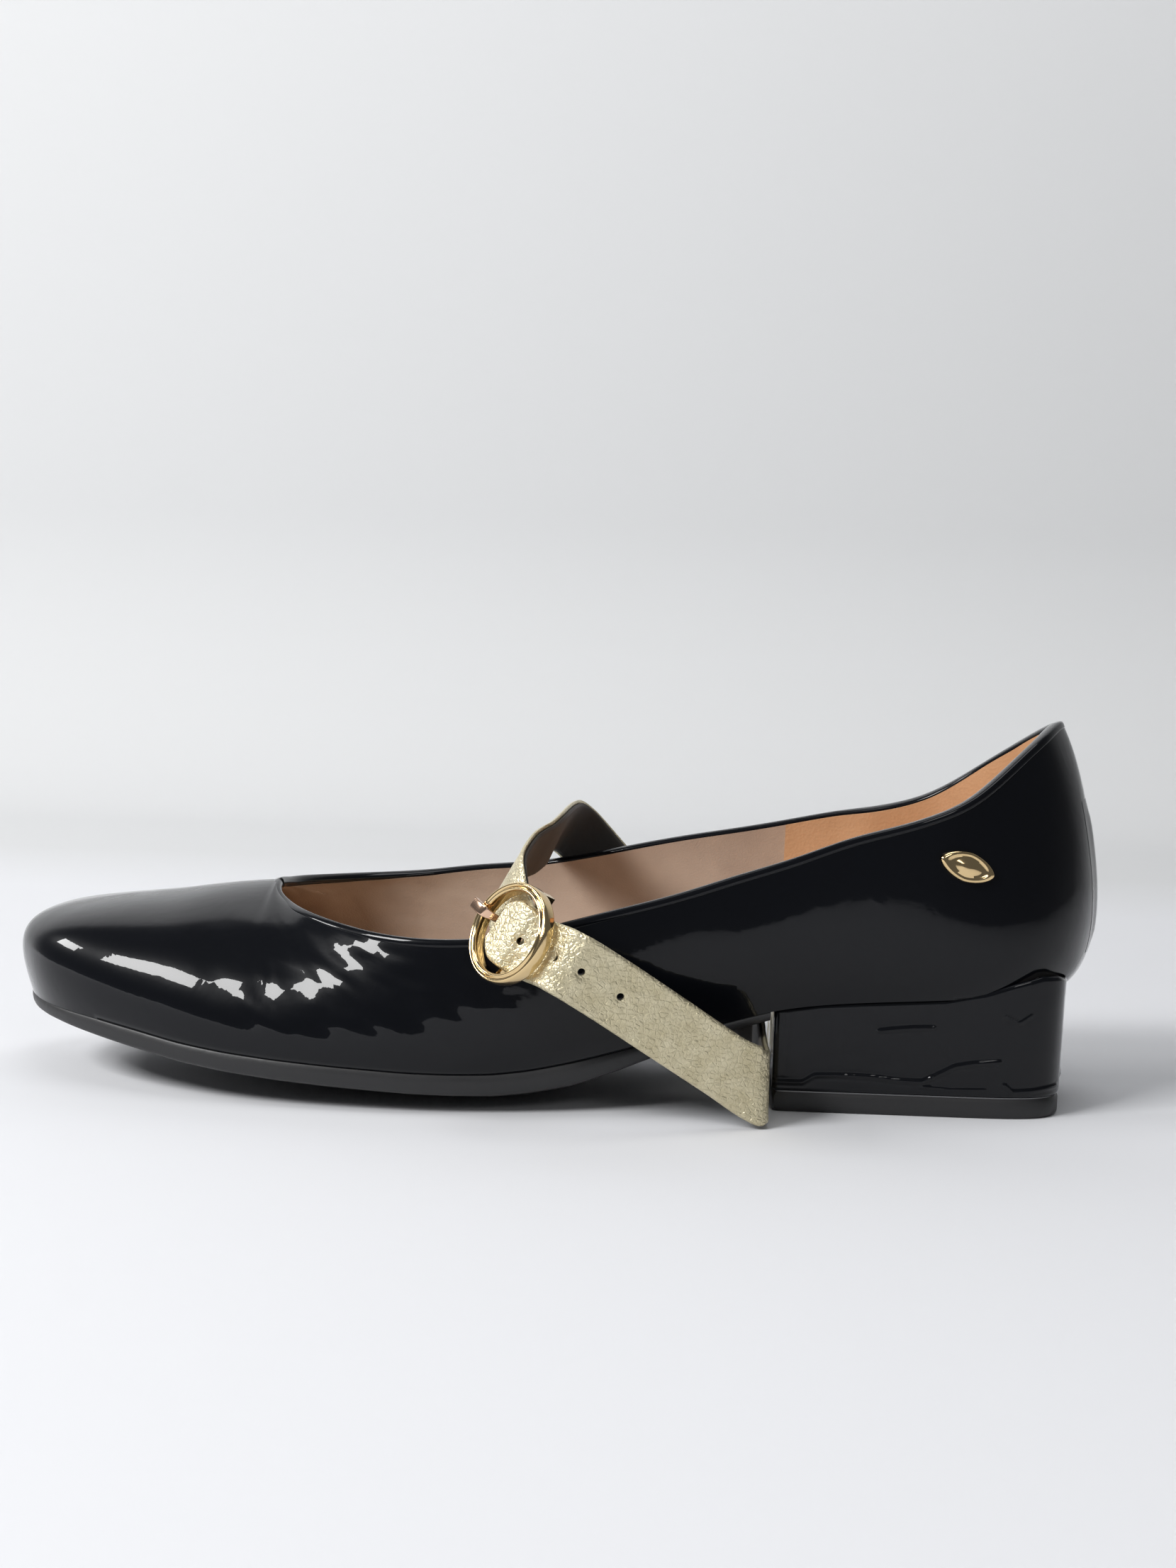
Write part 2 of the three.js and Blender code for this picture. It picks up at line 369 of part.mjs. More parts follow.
for (const [n, x, y, r, rh, dz] of fast) {
  const zt = zsb(x, y) + boardHi - 0.3;
  const g = join(cyl(x, y, zt - 1.0, zt, rh, 14), cyl(x, y, zt - 4.6 - dz, zt - 0.5, r, 12));
  node(n, g, STEEL());
}
// the shank and filler stay clear of the fasteners

// ---------------------------------------------------------------- badge on the outer quarter
const side = (x, z, o) => {
  // point on the outer face of the lateral wall at x, z, moved out by o
  let best = null, bd = 1e9;
  for (const [q, k, s, r] of F) if (s < 0 && r >= RB && k > 20) {
    const c = q.reduce((a, i) => add(a, V[i], 1 / q.length), [0, 0, 0]);
    const d = Math.hypot(c[0] - x, c[2] - z);
    if (d < bd) { bd = d; best = q; }
  }
  const n = norm(cross(sub(V[best[1]], V[best[0]]), sub(V[best[2]], V[best[0]])));
  const y = V[best[0]][1] - (n[0] * (x - V[best[0]][0]) + n[2] * (z - V[best[0]][2])) / n[1];
  return [[x + n[0] * o, y + n[1] * o, z + n[2] * o], n];
};
{
  const [c, n] = side(badgeC[0], badgeC[1], 0);
  const ux = norm([Math.cos(0.3), 0, -Math.sin(0.3)]), u = norm(sub(ux, n.map((v) => v * dot(ux, n)))), w = cross(n, u);
  const at = (a, b, o) => add(add(add(c, u, a), w, b), n, o);
  const ring = [], N = 20;
  for (let i = 0; i < N; i++) { const t = 2 * Math.PI * i / N; ring.push([6.4 * Math.sign(Math.cos(t)) * Math.abs(Math.cos(t)) ** 1.25, 3.3 * Math.sign(Math.sin(t)) * Math.abs(Math.sin(t)) ** 1.25]); }
  const lo = 0.75, verts = [], tris = [];
  for (const [a, b] of ring) verts.push(at(a, b, lo), at(a, b, lo + 0.6), at(a * 0.8, b * 0.75, lo + 1.1));
  verts.push(at(0, 0, lo), at(0, 0, lo + 1.25));
  for (let i = 0; i < N; i++) { const a = i * 3, b = ((i + 1) % N) * 3; tris.push([a, b, b + 1], [a, b + 1, a + 1], [a + 1, b + 1, b + 2], [a + 1, b + 2, a + 2], [a + 2, b + 2, N * 3 + 1], [b, a, N * 3]); }
  let plate = geo(verts, tris); if (toM(plate).volume() < 0) plate = geo(verts, tris.map((t) => [t[0], t[2], t[1]]));
  const post = (a, r, o0, o1) => { const g = new THREE.CylinderGeometry(r, r, o1 - o0, 8); g.applyQuaternion(new THREE.Quaternion().setFromUnitVectors(new THREE.Vector3(0, 1, 0), new THREE.Vector3(...n))); const p = at(a, 0, (o0 + o1) / 2); g.translate(...p); return g; };
  node('badge', join(plate, post(-3.4, 0.4, -T_UPPER, lo + 0.3), post(3.4, 0.4, -T_UPPER, lo + 0.3)), GOLD());
  upper = cut(upper, post(-3.4, 0.75, -3, 2), post(3.4, 0.75, -3, 2));
}
node('upper_shell', upper, PATENT());

// ---------------------------------------------------------------- buckle frame of reference
const RC = [-6.95, -48, 42.93];
const RN = norm([-0.6216, -0.6817, 0.386]);
const RT = (() => { const t = [-0.58, 0.73, 0.36]; return norm(sub(t, RN.map((v) => v * dot(t, RN)))); })();
const RB3 = (() => { const b = cross(RN, RT); return b[2] < 0 ? b.map((v) => -v) : b; })();
const ringP = (t, n, b = 0) => add(add(add(RC, RT, t), RN, n), RB3, b);

// ---------------------------------------------------------------- strap
// stations from the free tip, down the outer side, under the waist, up the inner side,
// over the instep and back to the buckle bar: [centre, half-width vector]
const W = (v, l = STRAP_HALF) => norm(v).map((x) => x * l);
const BV = RB3;
const TAIL = [[5.4, -0.4, 4.9], [3.8, -0.3, 6.5], [1.9, -0.25, 7.4], [0, -0.3], [-1.5, -0.8], [-3.2, -2.2, 0, 0.05], [-4.6, -2.95, 0, 0.2], [-5.7, -3.2, 0, 0.4]].map(([t, n, w, b]) => [ringP(t, n, b || 0), W(BV, w || STRAP_HALF)]);
const MAIN = [
  [ringP(-6.25, -3.3, 0.5), W(BV)], [ringP(-9, -3.6, 1.3), W(BV)], [ringP(-12, -3.9, 2.2), W(BV)], [[5.9, -55.1, 38.05], W([0.531, 0.02, 0.847])],
  [[8.6, -54.9, 36.6], W([0.531, 0.04, 0.847])], [[16.68, -52, 31.16], W([0.531, 0.04, 0.847])],
  [[29.5, -48, 22.24], W([0.531, 0.02, 0.847])], [[40.36, -44.5, 14.67], W([0.531, 0.0, 0.847])],
  [[45.4, -42.7, 11.4], [2.9, 0, 7.6]], [[48.0, -41.9, 9.5], [0.5, 0, 8.5]], [[49.3, -40.6, 9.3], [0, 0, 8.4]],
  [[49.4, -38.2, 9.4], [0, 0, 8.0]], [[49.1, -30, 10.0], [0, 0, 7.5]], [[49.0, -10, 10.4], [0, 0, 7.5]], [[49.0, 10, 10.4], [0, 0, 7.5]],
  [[49.1, 30, 10.0], [0, 0, 7.5]], [[49.4, 37.5, 9.6], [0, 0, 7.9]], [[49.3, 40.0, 9.7], [0, 0, 8.3]], [[48.0, 41.4, 10.2], [0.8, 0, 8.4]],
  [[44.6, 42.2, 13.2], [4.2, 0, 6.9]], [[34, 43.4, 22.6], W([0.666, 0, 0.745])], [[20, 44.2, 35], W([0.666, 0, 0.745])],
  [[9.3, 43.4, 46.4], W([0.64, 0.05, 0.76])], [[3.0, 40.9, 53.8], W([0.60, 0.10, 0.79])], [[0.0, 36.2, 56.9], W([0.52, 0.05, 0.85])],
  [[-1.0, 25, 57.9], W([0.50, -0.02, 0.865])], [[-1.0, 10, 58.2], W([0.42, -0.10, 0.90])], [[-1.2, -3, 58.3], W([0.37, -0.25, 0.89])],
  [[-3.1, -11.6, 57.1], W([0.38, -0.31, 0.87])], [[-6.3, -19.5, 55.9], W([0.42, -0.34, 0.84])], [[-8.8, -31.0, 52.7], W([0.48, -0.28, 0.83])],
  [[-8.4, -37.6, 48.6], W([0.52, -0.13, 0.84])], [ringP(5.6, -4.5, 0.6), W(BV)],
  [ringP(4.2, -4.35, 0.3), W(BV)],
];
// Catmull-Rom refinement
const refine = (S, m) => {
  const out = [], n = S.length, g = (i) => S[clamp(i, 0, n - 1)];
  for (let i = 0; i < n - 1; i++) for (let j = 0; j < m; j++) {
    const t = j / m, [a, b, c, d] = [g(i - 1), g(i), g(i + 1), g(i + 2)];
    const cr = (q) => [0, 1, 2].map((x) => 0.5 * (2 * b[q][x] + (c[q][x] - a[q][x]) * t + (2 * a[q][x] - 5 * b[q][x] + 4 * c[q][x] - d[q][x]) * t * t + (3 * b[q][x] - a[q][x] - 3 * c[q][x] + d[q][x]) * t ** 3));
    out.push([cr(0), cr(1)]);
  }
  out.push(S[n - 1]);
  return out;
};
const normals = (S) => S.map((s, i) => {
  const a = S[Math.max(0, i - 1)][0], b = S[Math.min(S.length - 1, i + 1)][0];
  return norm(cross(sub(b, a), s[1]));
});
const band = (S, N, o1, o2, shrink = 0) => {
  const verts = [], tris = [], n = S.length;
  S.forEach(([p, w], i) => {
    const l = Math.hypot(...w), f = (l - shrink) / l, u = w.map((v) => v * f);
    verts.push(add(add(p, u), N[i], o2), add(add(p, u, -1), N[i], o2), add(add(p, u, -1), N[i], o1), add(add(p, u), N[i], o1));
  });
  const Q = (a, b, c, d) => tris.push([a, b, c], [a, c, d]);
  for (let i = 0; i < n - 1; i++) for (let j = 0; j < 4; j++) { const a = i * 4 + j, b = i * 4 + (j + 1) % 4; Q(a, b, b + 4, a + 4); }
  Q(3, 2, 1, 0); const e = (n - 1) * 4; Q(e, e + 1, e + 2, e + 3);
  const g = geo(verts, tris);
  return toM(g).volume() < 0 ? geo(verts, tris.map((t) => [t[0], t[2], t[1]])) : g;
};
const mainS = refine(MAIN, 2), mainN = normals(mainS);
const tailS = refine(TAIL, 2), tailN = normals(tailS);
const hole = (S, N, i, r) => { const g = new THREE.CylinderGeometry(r, r, 8, 10); g.applyQuaternion(new THREE.Quaternion().setFromUnitVectors(new THREE.Vector3(0, 1, 0), new THREE.Vector3(...N[i]))); g.translate(...S[i][0]); return g; };
const HOLES_X = [3.2, 9.0, 17.4];       // adjustment holes, by their place along X
const atX = (S, N, x) => { for (let i = 1; i < S.length; i++) if (S[i][0][0] >= x) { const f = (x - S[i - 1][0][0]) / (S[i][0][0] - S[i - 1][0][0]); return [add(S[i - 1][0], sub(S[i][0], S[i - 1][0]), f), norm(add(N[i - 1], N[i]))]; } return null; };
const holeAt = ([c, n], r) => { const g = new THREE.CylinderGeometry(r, r, 8, 10); g.applyQuaternion(new THREE.Quaternion().setFromUnitVectors(new THREE.Vector3(0, 1, 0), new THREE.Vector3(...n))); g.translate(...c); return g; };
const holesTail = [9];
const OUT = [0.1, 0.95], LIN = [-0.95, -0.25];
node('strap_tail', cut(band(tailS, tailN, ...OUT), ...holesTail.map((i) => hole(tailS, tailN, i, 1.0))), GOLDL());
node('strap_tail_lining', cut(band(tailS, tailN, ...LIN, 0.3), ...holesTail.map((i) => hole(tailS, tailN, i, 1.0))), TAN());
// the outer leather runs on round the buckle bar and back under the lining
const fold = [];
{
  const c = [0, BAR_N], rm = 2.0;
  for (let i = 0; i <= 6; i++) { const a = Math.PI / 2 + Math.PI * i / 6 * 1.0; fold.push([c[0] + rm * Math.cos(a), c[1] + rm * Math.sin(a)]); }
}
const prongSlot = (t0, t1, n0, n1, hb) => {
  const c = [[t0, n0], [t1, n0], [t1, n1], [t0, n1]], verts = [], tris = [];
  for (const b of [-hb, hb]) for (const [t, n] of c) verts.push(ringP(t, n, b));
  const Q = (a, b, d, e) => tris.push([a, b, d], [a, d, e]);
  Q(0, 3, 2, 1); Q(4, 5, 6, 7); for (let j = 0; j < 4; j++) { const k = (j + 1) % 4; Q(j, k, k + 4, j + 4); }
  const g = geo(verts, tris); return toM(g).volume() < 0 ? geo(verts, tris.map((t) => [t[0], t[2], t[1]])) : g;
};
{
  const end = mainS.map((s, i) => [add(s[0], mainN[i], 0.5), s[1]]);
  const wrap = [[2.7, -3.3], [1.25, -2.35], ...fold].concat([[1.8, -6.03], [4.6, -6.0]]).map(([t, n], i) => [ringP(t, n, i === 0 ? 0.2 : 0), W(BV)]);
  const S = end.concat(wrap);
  const N = normals(S);
  let g = band(S, N, -0.4, 0.4);
  g = cut(g, prongSlot(-1.4, 3.7, BAR_N + 0.2, 3, 1.4), ...HOLES_X.map((x) => holeAt(atX(S, N, x), 1.0)));
  node('strap_outer', g, GOLDL());
  const li = mainS.slice(0, -2), ln = mainN.slice(0, -2);
  node('strap_lining', cut(band(li, ln, -0.98, -0.5, 0.4), ...HOLES_X.map((x) => holeAt(atX(mainS, mainN, x), 1.0))), TAN());
}

// ---------------------------------------------------------------- buckle
const basis = new THREE.Matrix4().makeBasis(new THREE.Vector3(...RT), new THREE.Vector3(...RN), new THREE.Vector3(...cross(RT, RN)));
const place = (g) => { g.applyMatrix4(basis); g.translate(...RC); return g; };
{
  // ring section: rounded front with two ridges, plain outer wall
  const rm = (RING_R + RING_RI) / 2;
  const prof = [[RING_RI, -RING_H + 0.4], [RING_RI + 0.3, -RING_H], [RING_R - 0.4, -RING_H], [RING_R, -RING_H + 0.5], [RING_R, RING_H - 0.8], [RING_R - 0.45, RING_H - 0.1], [rm + 0.1, RING_H - 0.35], [rm - 0.3, RING_H], [RING_RI + 0.1, RING_H - 0.5]].map(([r, h]) => new THREE.Vector2(r, h));
  prof.push(prof[0].clone());
  const ring = place(new THREE.LatheGeometry(prof, 40));
  // in lathe space Z is cross(RT,RN) = -bar direction; the bar runs along Z
  const bar = new THREE.CylinderGeometry(BAR_R, BAR_R, 21.4, 12); bar.rotateX(Math.PI / 2); bar.translate(0, BAR_N, 0);
  const leg = (s) => { const g = new THREE.BoxGeometry(2.0, 4.6, 1.6); g.translate(0, BAR_N + 1.7, s * 10.4); return g; };
  const ringM = toM(ring); const rg = ringM.volume() < 0 ? (() => { const g = ring.clone(); const ix = Array.from(g.index.array); for (let i = 0; i < ix.length; i += 3) [ix[i + 1], ix[i + 2]] = [ix[i + 2], ix[i + 1]]; g.setIndex(ix); return g; })() : ring;
  node('buckle_frame', join(rg, place(bar), place(leg(1)), place(leg(-1))), GOLD());
}
{
  // prong: sleeve on the bar, then a bent bar resting on the ring's far rim
  const pts = [[0, BAR_N + 1.25], [2.4, -2.6], [5.5, -2.5], [6.9, -1.1], [8.0, 1.4], [9.2, 2.5], [12.6, 2.45]];
  const h = 0.55, wd = 0.75, wTip = [0.75, 0.75, 0.75, 0.8, 0.95, 1.15, 1.2], verts = [], tris = [];
  const nrm = pts.map((p, i) => { const a = pts[Math.max(0, i - 1)], b = pts[Math.min(pts.length - 1, i + 1)], l = Math.hypot(b[0] - a[0], b[1] - a[1]); return [-(b[1] - a[1]) / l, (b[0] - a[0]) / l]; });
  pts.forEach(([t, n], i) => { const [a, b] = nrm[i]; const w = wTip[i]; verts.push(ringP(t + a * h, n + b * h, w), ringP(t + a * h, n + b * h, -w), ringP(t - a * h, n - b * h, -w), ringP(t - a * h, n - b * h, w)); });
  const Q = (a, b, c, d) => tris.push([a, b, c], [a, c, d]);
  for (let i = 0; i < pts.length - 1; i++) for (let j = 0; j < 4; j++) { const a = i * 4 + j, b = i * 4 + (j + 1) % 4; Q(a, b, b + 4, a + 4); }
  Q(3, 2, 1, 0); const e = (pts.length - 1) * 4; Q(e, e + 1, e + 2, e + 3);
  let arm = geo(verts, tris); if (toM(arm).volume() < 0) arm = geo(verts, tris.map((t) => [t[0], t[2], t[1]]));
  const tube = (r, w) => { const g = new THREE.CylinderGeometry(r, r, w, 16); g.rotateX(Math.PI / 2); g.translate(0, BAR_N, 0); return place(g); };
  node('buckle_prong', fromM(toM(arm).add(toM(tube(BAR_R + 0.58, 2 * wd))).subtract(toM(tube(BAR_R + 0.12, 6)))), GOLD());
}
// the frame origin is under the middle of the whole part, on the floor
const model = new THREE.Group();
const span = new THREE.Box3().setFromObject(root);
root.position.set(-(span.min.x + span.max.x) / 2, -(span.min.y + span.max.y) / 2, 0);
model.add(root);
export default model;
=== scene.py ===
# Blender scene: a left low-heeled black patent pump with a gold instep strap.
# Numbers below are millimetres in the shoe's own frame (toe -X, outer side -Y, floor z = 0).
import bpy
import bmesh
import math
import numpy as np
from mathutils import Matrix, Vector, noise


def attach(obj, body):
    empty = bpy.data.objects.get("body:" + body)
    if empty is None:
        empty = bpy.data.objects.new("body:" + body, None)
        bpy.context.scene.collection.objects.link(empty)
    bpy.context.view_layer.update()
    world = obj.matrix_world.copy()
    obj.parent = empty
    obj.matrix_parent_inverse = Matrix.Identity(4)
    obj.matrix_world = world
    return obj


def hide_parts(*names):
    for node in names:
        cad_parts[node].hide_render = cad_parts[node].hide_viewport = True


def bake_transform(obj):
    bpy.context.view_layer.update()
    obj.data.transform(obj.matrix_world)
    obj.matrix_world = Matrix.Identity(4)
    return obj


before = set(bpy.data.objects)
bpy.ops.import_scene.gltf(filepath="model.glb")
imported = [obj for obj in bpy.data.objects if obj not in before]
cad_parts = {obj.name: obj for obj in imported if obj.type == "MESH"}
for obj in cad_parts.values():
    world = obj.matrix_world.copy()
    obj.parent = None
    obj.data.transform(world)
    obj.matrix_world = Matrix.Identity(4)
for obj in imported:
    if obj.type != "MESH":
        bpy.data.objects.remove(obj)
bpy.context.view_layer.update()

SHIFT = np.array([0.7596, 6.0365, 0.0])          # shoe's own frame to the row frame


def W(p):
    return (np.asarray(p, float).reshape(-1, 3) + SHIFT) / 1000.0


def unit(a):
    a = np.asarray(a, float)
    return a / np.maximum(np.linalg.norm(a, axis=-1, keepdims=True), 1e-9)


def smooth(x, a, b):
    t = np.clip((np.asarray(x, float) - a) / (b - a), 0, 1)
    return t * t * (3 - 2 * t)


# ------------------------------------------------------------------ materials
def new_mat(name, color, rough, metal=0.0, coat=0.0, coat_rough=0.03, spec=0.5, sheen=0.0):
    m = bpy.data.materials.new(name)
    m.use_nodes = True
    nt = m.node_tree
    b = nt.nodes["Principled BSDF"]
    b.inputs["Base Color"].default_value = (*color, 1)
    b.inputs["Roughness"].default_value = rough
    b.inputs["Metallic"].default_value = metal
    b.inputs["Coat Weight"].default_value = coat
    b.inputs["Coat Roughness"].default_value = coat_rough
    b.inputs["Specular IOR Level"].default_value = spec
    b.inputs["Sheen Weight"].default_value = sheen
    return m, nt, b


def coords(nt):
    return nt.nodes.new("ShaderNodeTexCoord").outputs["Object"]


def tex(nt, kind, scale, detail=2.0, rough=0.5, distortion=0.0, feature=None):
    n = nt.nodes.new("ShaderNodeTex" + kind)
    n.inputs["Scale"].default_value = scale
    if kind == "Noise":
        n.inputs["Detail"].default_value = detail
        n.inputs["Roughness"].default_value = rough
        n.inputs["Distortion"].default_value = distortion
    if feature:
        n.feature = feature
    nt.links.new(coords(nt), n.inputs["Vector"])
    return n


def bump(nt, b, out, strength, dist, prev=None, coat=False):
    n = nt.nodes.new("ShaderNodeBump")
    n.inputs["Strength"].default_value = strength
    n.inputs["Distance"].default_value = dist
    nt.links.new(out, n.inputs["Height"])
    if prev is not None:
        nt.links.new(prev, n.inputs["Normal"])
    nt.links.new(n.outputs["Normal"], b.inputs["Normal"])
    if coat:
        nt.links.new(n.outputs["Normal"], b.inputs["Coat Normal"])
    return n.outputs["Normal"]


def ramp(nt, fac, stops):
    r = nt.nodes.new("ShaderNodeValToRGB")
    e = r.color_ramp.elements
    e[0].position, e[0].color = stops[0][0], (*stops[0][1], 1)
    e[1].position, e[1].color = stops[-1][0], (*stops[-1][1], 1)
    for p, c in stops[1:-1]:
        k = e.new(p)
        k.color = (*c, 1)
    nt.links.new(fac, r.inputs["Fac"])
    return r.outputs["Color"]


def patent(name, wrinkle):
    m, nt, b = new_mat(name, (0.0022, 0.0027, 0.0042), 0.3, coat=1.0, coat_rough=0.014, spec=0.06)
    b.inputs["Coat IOR"].default_value = 1.33
    t = tex(nt, "Noise", 95, 3, 0.55, 0.4)
    p = bump(nt, b, t.outputs["Fac"], 0.12 * wrinkle, 0.0008, coat=True)
    t2 = tex(nt, "Noise", 700, 2, 0.5)
    bump(nt, b, t2.outputs["Fac"], 0.05, 0.00012, p, coat=True)
    return m


M = {}
M["patent"] = patent("patent_gloss", 1.0)
M["patent_heel"] = patent("patent_gloss_heel", 1.6)

m, nt, b = new_mat("strap_gold", (0.6, 0.5, 0.3), 0.3, metal=0.86)
v = tex(nt, "Voronoi", 820, feature="DISTANCE_TO_EDGE")
vr = nt.nodes.new("ShaderNodeMapRange")
vr.inputs["From Max"].default_value = 0.16
nt.links.new(v.outputs["Distance"], vr.inputs["Value"])
n1 = tex(nt, "Noise", 220, 4, 0.6, 0.3)
n2 = tex(nt, "Noise", 900, 3, 0.6)
nt.links.new(ramp(nt, n1.outputs["Fac"], [(0.3, (0.60, 0.53, 0.345)), (0.7, (0.735, 0.665, 0.47))]), b.inputs["Base Color"])
p = bump(nt, b, vr.outputs["Result"], 0.55, 0.00016)
p = bump(nt, b, n2.outputs["Fac"], 0.7, 0.0005, p)
bump(nt, b, n1.outputs["Fac"], 0.5, 0.0008, p)
r = nt.nodes.new("ShaderNodeMapRange")
r.inputs["To Min"].default_value = 0.32
r.inputs["To Max"].default_value = 0.48
nt.links.new(n2.outputs["Fac"], r.inputs["Value"])
nt.links.new(r.outputs["Result"], b.inputs["Roughness"])
M["strap_gold"] = m

# painted shade: the strap backing is coloured near black to stand in for the shade on the strap's underside and on the
# lower layer of its edges
m, nt, b = new_mat("strap_backing_painted_shade", (0.05, 0.045, 0.04), 0.65)
n1 = tex(nt, "Noise", 900, 3, 0.6)
bump(nt, b, n1.outputs["Fac"], 0.3, 0.0002)
M["strap_back"] = m

m, nt, b = new_mat("gold_polished", (0.83, 0.62, 0.33), 0.1, metal=1.0)
n1 = tex(nt, "Noise", 300, 2)
bump(nt, b, n1.outputs["Fac"], 0.02, 0.0002)
M["gold"] = m
m, nt, b = new_mat("rose_gold_polished", (0.83, 0.56, 0.40), 0.14, metal=1.0)
n1 = tex(nt, "Noise", 300, 2)
bump(nt, b, n1.outputs["Fac"], 0.02, 0.0002)
M["rose"] = m

m, nt, b = new_mat("lining_textile", (0.36, 0.265, 0.18), 0.85, sheen=0.15)
w1 = tex(nt, "Noise", 2600, 2, 0.5)
w2 = tex(nt, "Noise", 60, 3, 0.5)
nt.links.new(ramp(nt, w2.outputs["Fac"], [(0.3, (0.375, 0.28, 0.215)), (0.7, (0.455, 0.345, 0.265))]), b.inputs["Base Color"])
bump(nt, b, w1.outputs["Fac"], 0.35, 0.0002)
M["textile"] = m

m, nt, b = new_mat("lining_tan", (0.62, 0.36, 0.19), 0.55)
w1 = tex(nt, "Voronoi", 1500, feature="F1")
w2 = tex(nt, "Noise", 50, 3, 0.5)
nt.links.new(ramp(nt, w2.outputs["Fac"], [(0.3, (0.565, 0.325, 0.17)), (0.7, (0.66, 0.40, 0.225))]), b.inputs["Base Color"])
bump(nt, b, w1.outputs["Distance"], 0.25, 0.0002)
M["tan"] = m

m, nt, b = new_mat("sole_rubber_matte", (0.017, 0.017, 0.018), 0.42, spec=0.5)
w1 = tex(nt, "Noise", 900, 4, 0.6)
w2 = tex(nt, "Noise", 90, 3, 0.6)
bump(nt, b, w1.outputs["Fac"], 0.25, 0.0002, bump(nt, b, w2.outputs["Fac"], 0.2, 0.0006))
r = nt.nodes.new("ShaderNodeMapRange")
r.inputs["To Min"].default_value = 0.34
r.inputs["To Max"].default_value = 0.6
nt.links.new(w2.outputs["Fac"], r.inputs["Value"])
nt.links.new(r.outputs["Result"], b.inputs["Roughness"])
M["rubber"] = m


def simple(name, color, rough, metal=0.0, scale=600, amt=0.2):
    mm, nt_, b_ = new_mat(name, color, rough, metal)
    t_ = tex(nt_, "Noise", scale, 3)
    bump(nt_, b_, t_.outputs["Fac"], amt, 0.0003)
    return mm


M["board"] = simple("board_fibre", (0.42, 0.31, 0.2), 0.9)
M["stiff"] = simple("stiffener_sheet", (0.5, 0.46, 0.38), 0.8)
M["steel"] = simple("plain_steel", (0.55, 0.55, 0.56), 0.32, 1.0)
M["foam"] = simple("pad_foam_face", (0.72, 0.64, 0.48), 0.95, scale=900, amt=0.5)
M["block"] = simple("heel_core", (0.2, 0.19, 0.18), 0.6)
M["weltline"] = simple("joint_line", (0.35, 0.35, 0.36), 0.5)

# ------------------------------------------------------------------ shape tables
ST = [
  [-127.2, 4, -127.2, 4, [-100, 2, 42.0], [-100, 2, 42.0]],
  [-126.3, -3.5, -126.2, 11.5, [-100, 2, 42.0], [-100, 2, 42.0]],
  [-123.3, -10.5, -122.9, 18, [-100, 2, 42.0], [-100, 2, 42.0]],
  [-118.5, -16.8, -117.5, 24, [-100, 2, 42.0], [-100, 2, 42.0]],
  [-112, -22.2, -110.5, 29, [-100, 2, 42.0], [-100, 2, 42.0]],
  [-103.5, -27, -102, 33, [-96.5, 1.7, 42.45], [-96.5, 1.7, 42.45]],
  [-93.5, -31.2, -92, 36.3, [-91, 1.2, 43.2], [-91, 1.2, 43.2]],
  [-83.5, -34.6, -82.5, 38.5, [-83.5, 0.7, 44.4], [-83.5, 0.7, 44.4]],
  [-74, -37, -73, 39.7, [-75.5, 0.3, 45.5], [-75.5, 0.3, 45.5]],
  [-66, -38.5, -65.5, 40, [-67.4, 0, 46.3], [-67.4, 0, 46.3]],
  [-60.5, -39.3, -60, 40, [-66.0, -7.5, 44.7], [-66.7, 7.5, 45.7]],
  [-54.5, -39.9, -54, 39.6, [-62.2, -14, 43.0], [-64.5, 15, 45.0]],
  [-48, -40.3, -48, 39, [-56.5, -22, 41.9], [-58.5, 23, 44.4]],
  [-40.5, -40.5, -41, 37.8, [-46.5, -30, 40.2], [-49, 30, 44.1]],
  [-31.5, -40.5, -32, 35.8, [-34.5, -35.8, 38.8], [-36, 35, 44.4]],
  [-21, -39.7, -21.5, 33.3, [-22, -37.8, 38.6], [-23, 36.6, 45.8]],
  [-9, -38, -9, 30.3, [-9, -37.8, 39.9], [-9, 36.0, 47.2]],
  [4, -35.7, 4, 27.3, [4, -36.3, 43.0], [4, 33.8, 49.6]],
  [17, -33, 17, 25, [17, -35, 46.5], [17, 32, 52.7]],
  [30, -30.4, 30, 23.7, [30, -33.4, 50.1], [30, 30.6, 55.6]],
  [42, -28.6, 42, 23.5, [42, -31.4, 54.0], [42, 29.4, 57.9]],
  [54.8, -27.3, 54.8, 23.8, [54.8, -30.1, 58.2], [54.8, 28.6, 60.5]],
  [67, -26.9, 67, 24.5, [67, -29.4, 62.8], [67, 28, 63.1]],
  [78, -27, 78, 25.4, [78, -28.8, 66.0], [78, 28, 65.0]],
  [88, -26.9, 88, 25.8, [88, -27.5, 69.3], [87.5, 27, 67.6]],
  [97, -26, 97, 25.2, [95.5, -24.8, 73.0], [95.3, 25, 71.6]],
  [105, -23.6, 105, 23.2, [102, -20.8, 78.0], [102.3, 21.2, 76.6]],
  [112, -18.8, 112, 18.8, [108, -16, 83.1], [108, 16, 81.2]],
  [117.3, -12, 117.3, 12, [112.5, -11, 86.5], [112.3, 11, 84.8]],
  [120.4, -5, 120.4, 5, [116, -4.5, 88.7], [116.1, 4.5, 88.0]],
  [121.5, 0, 121.5, 0, [117.5, 0, 89.0], [117.5, 0, 89.0]],
]
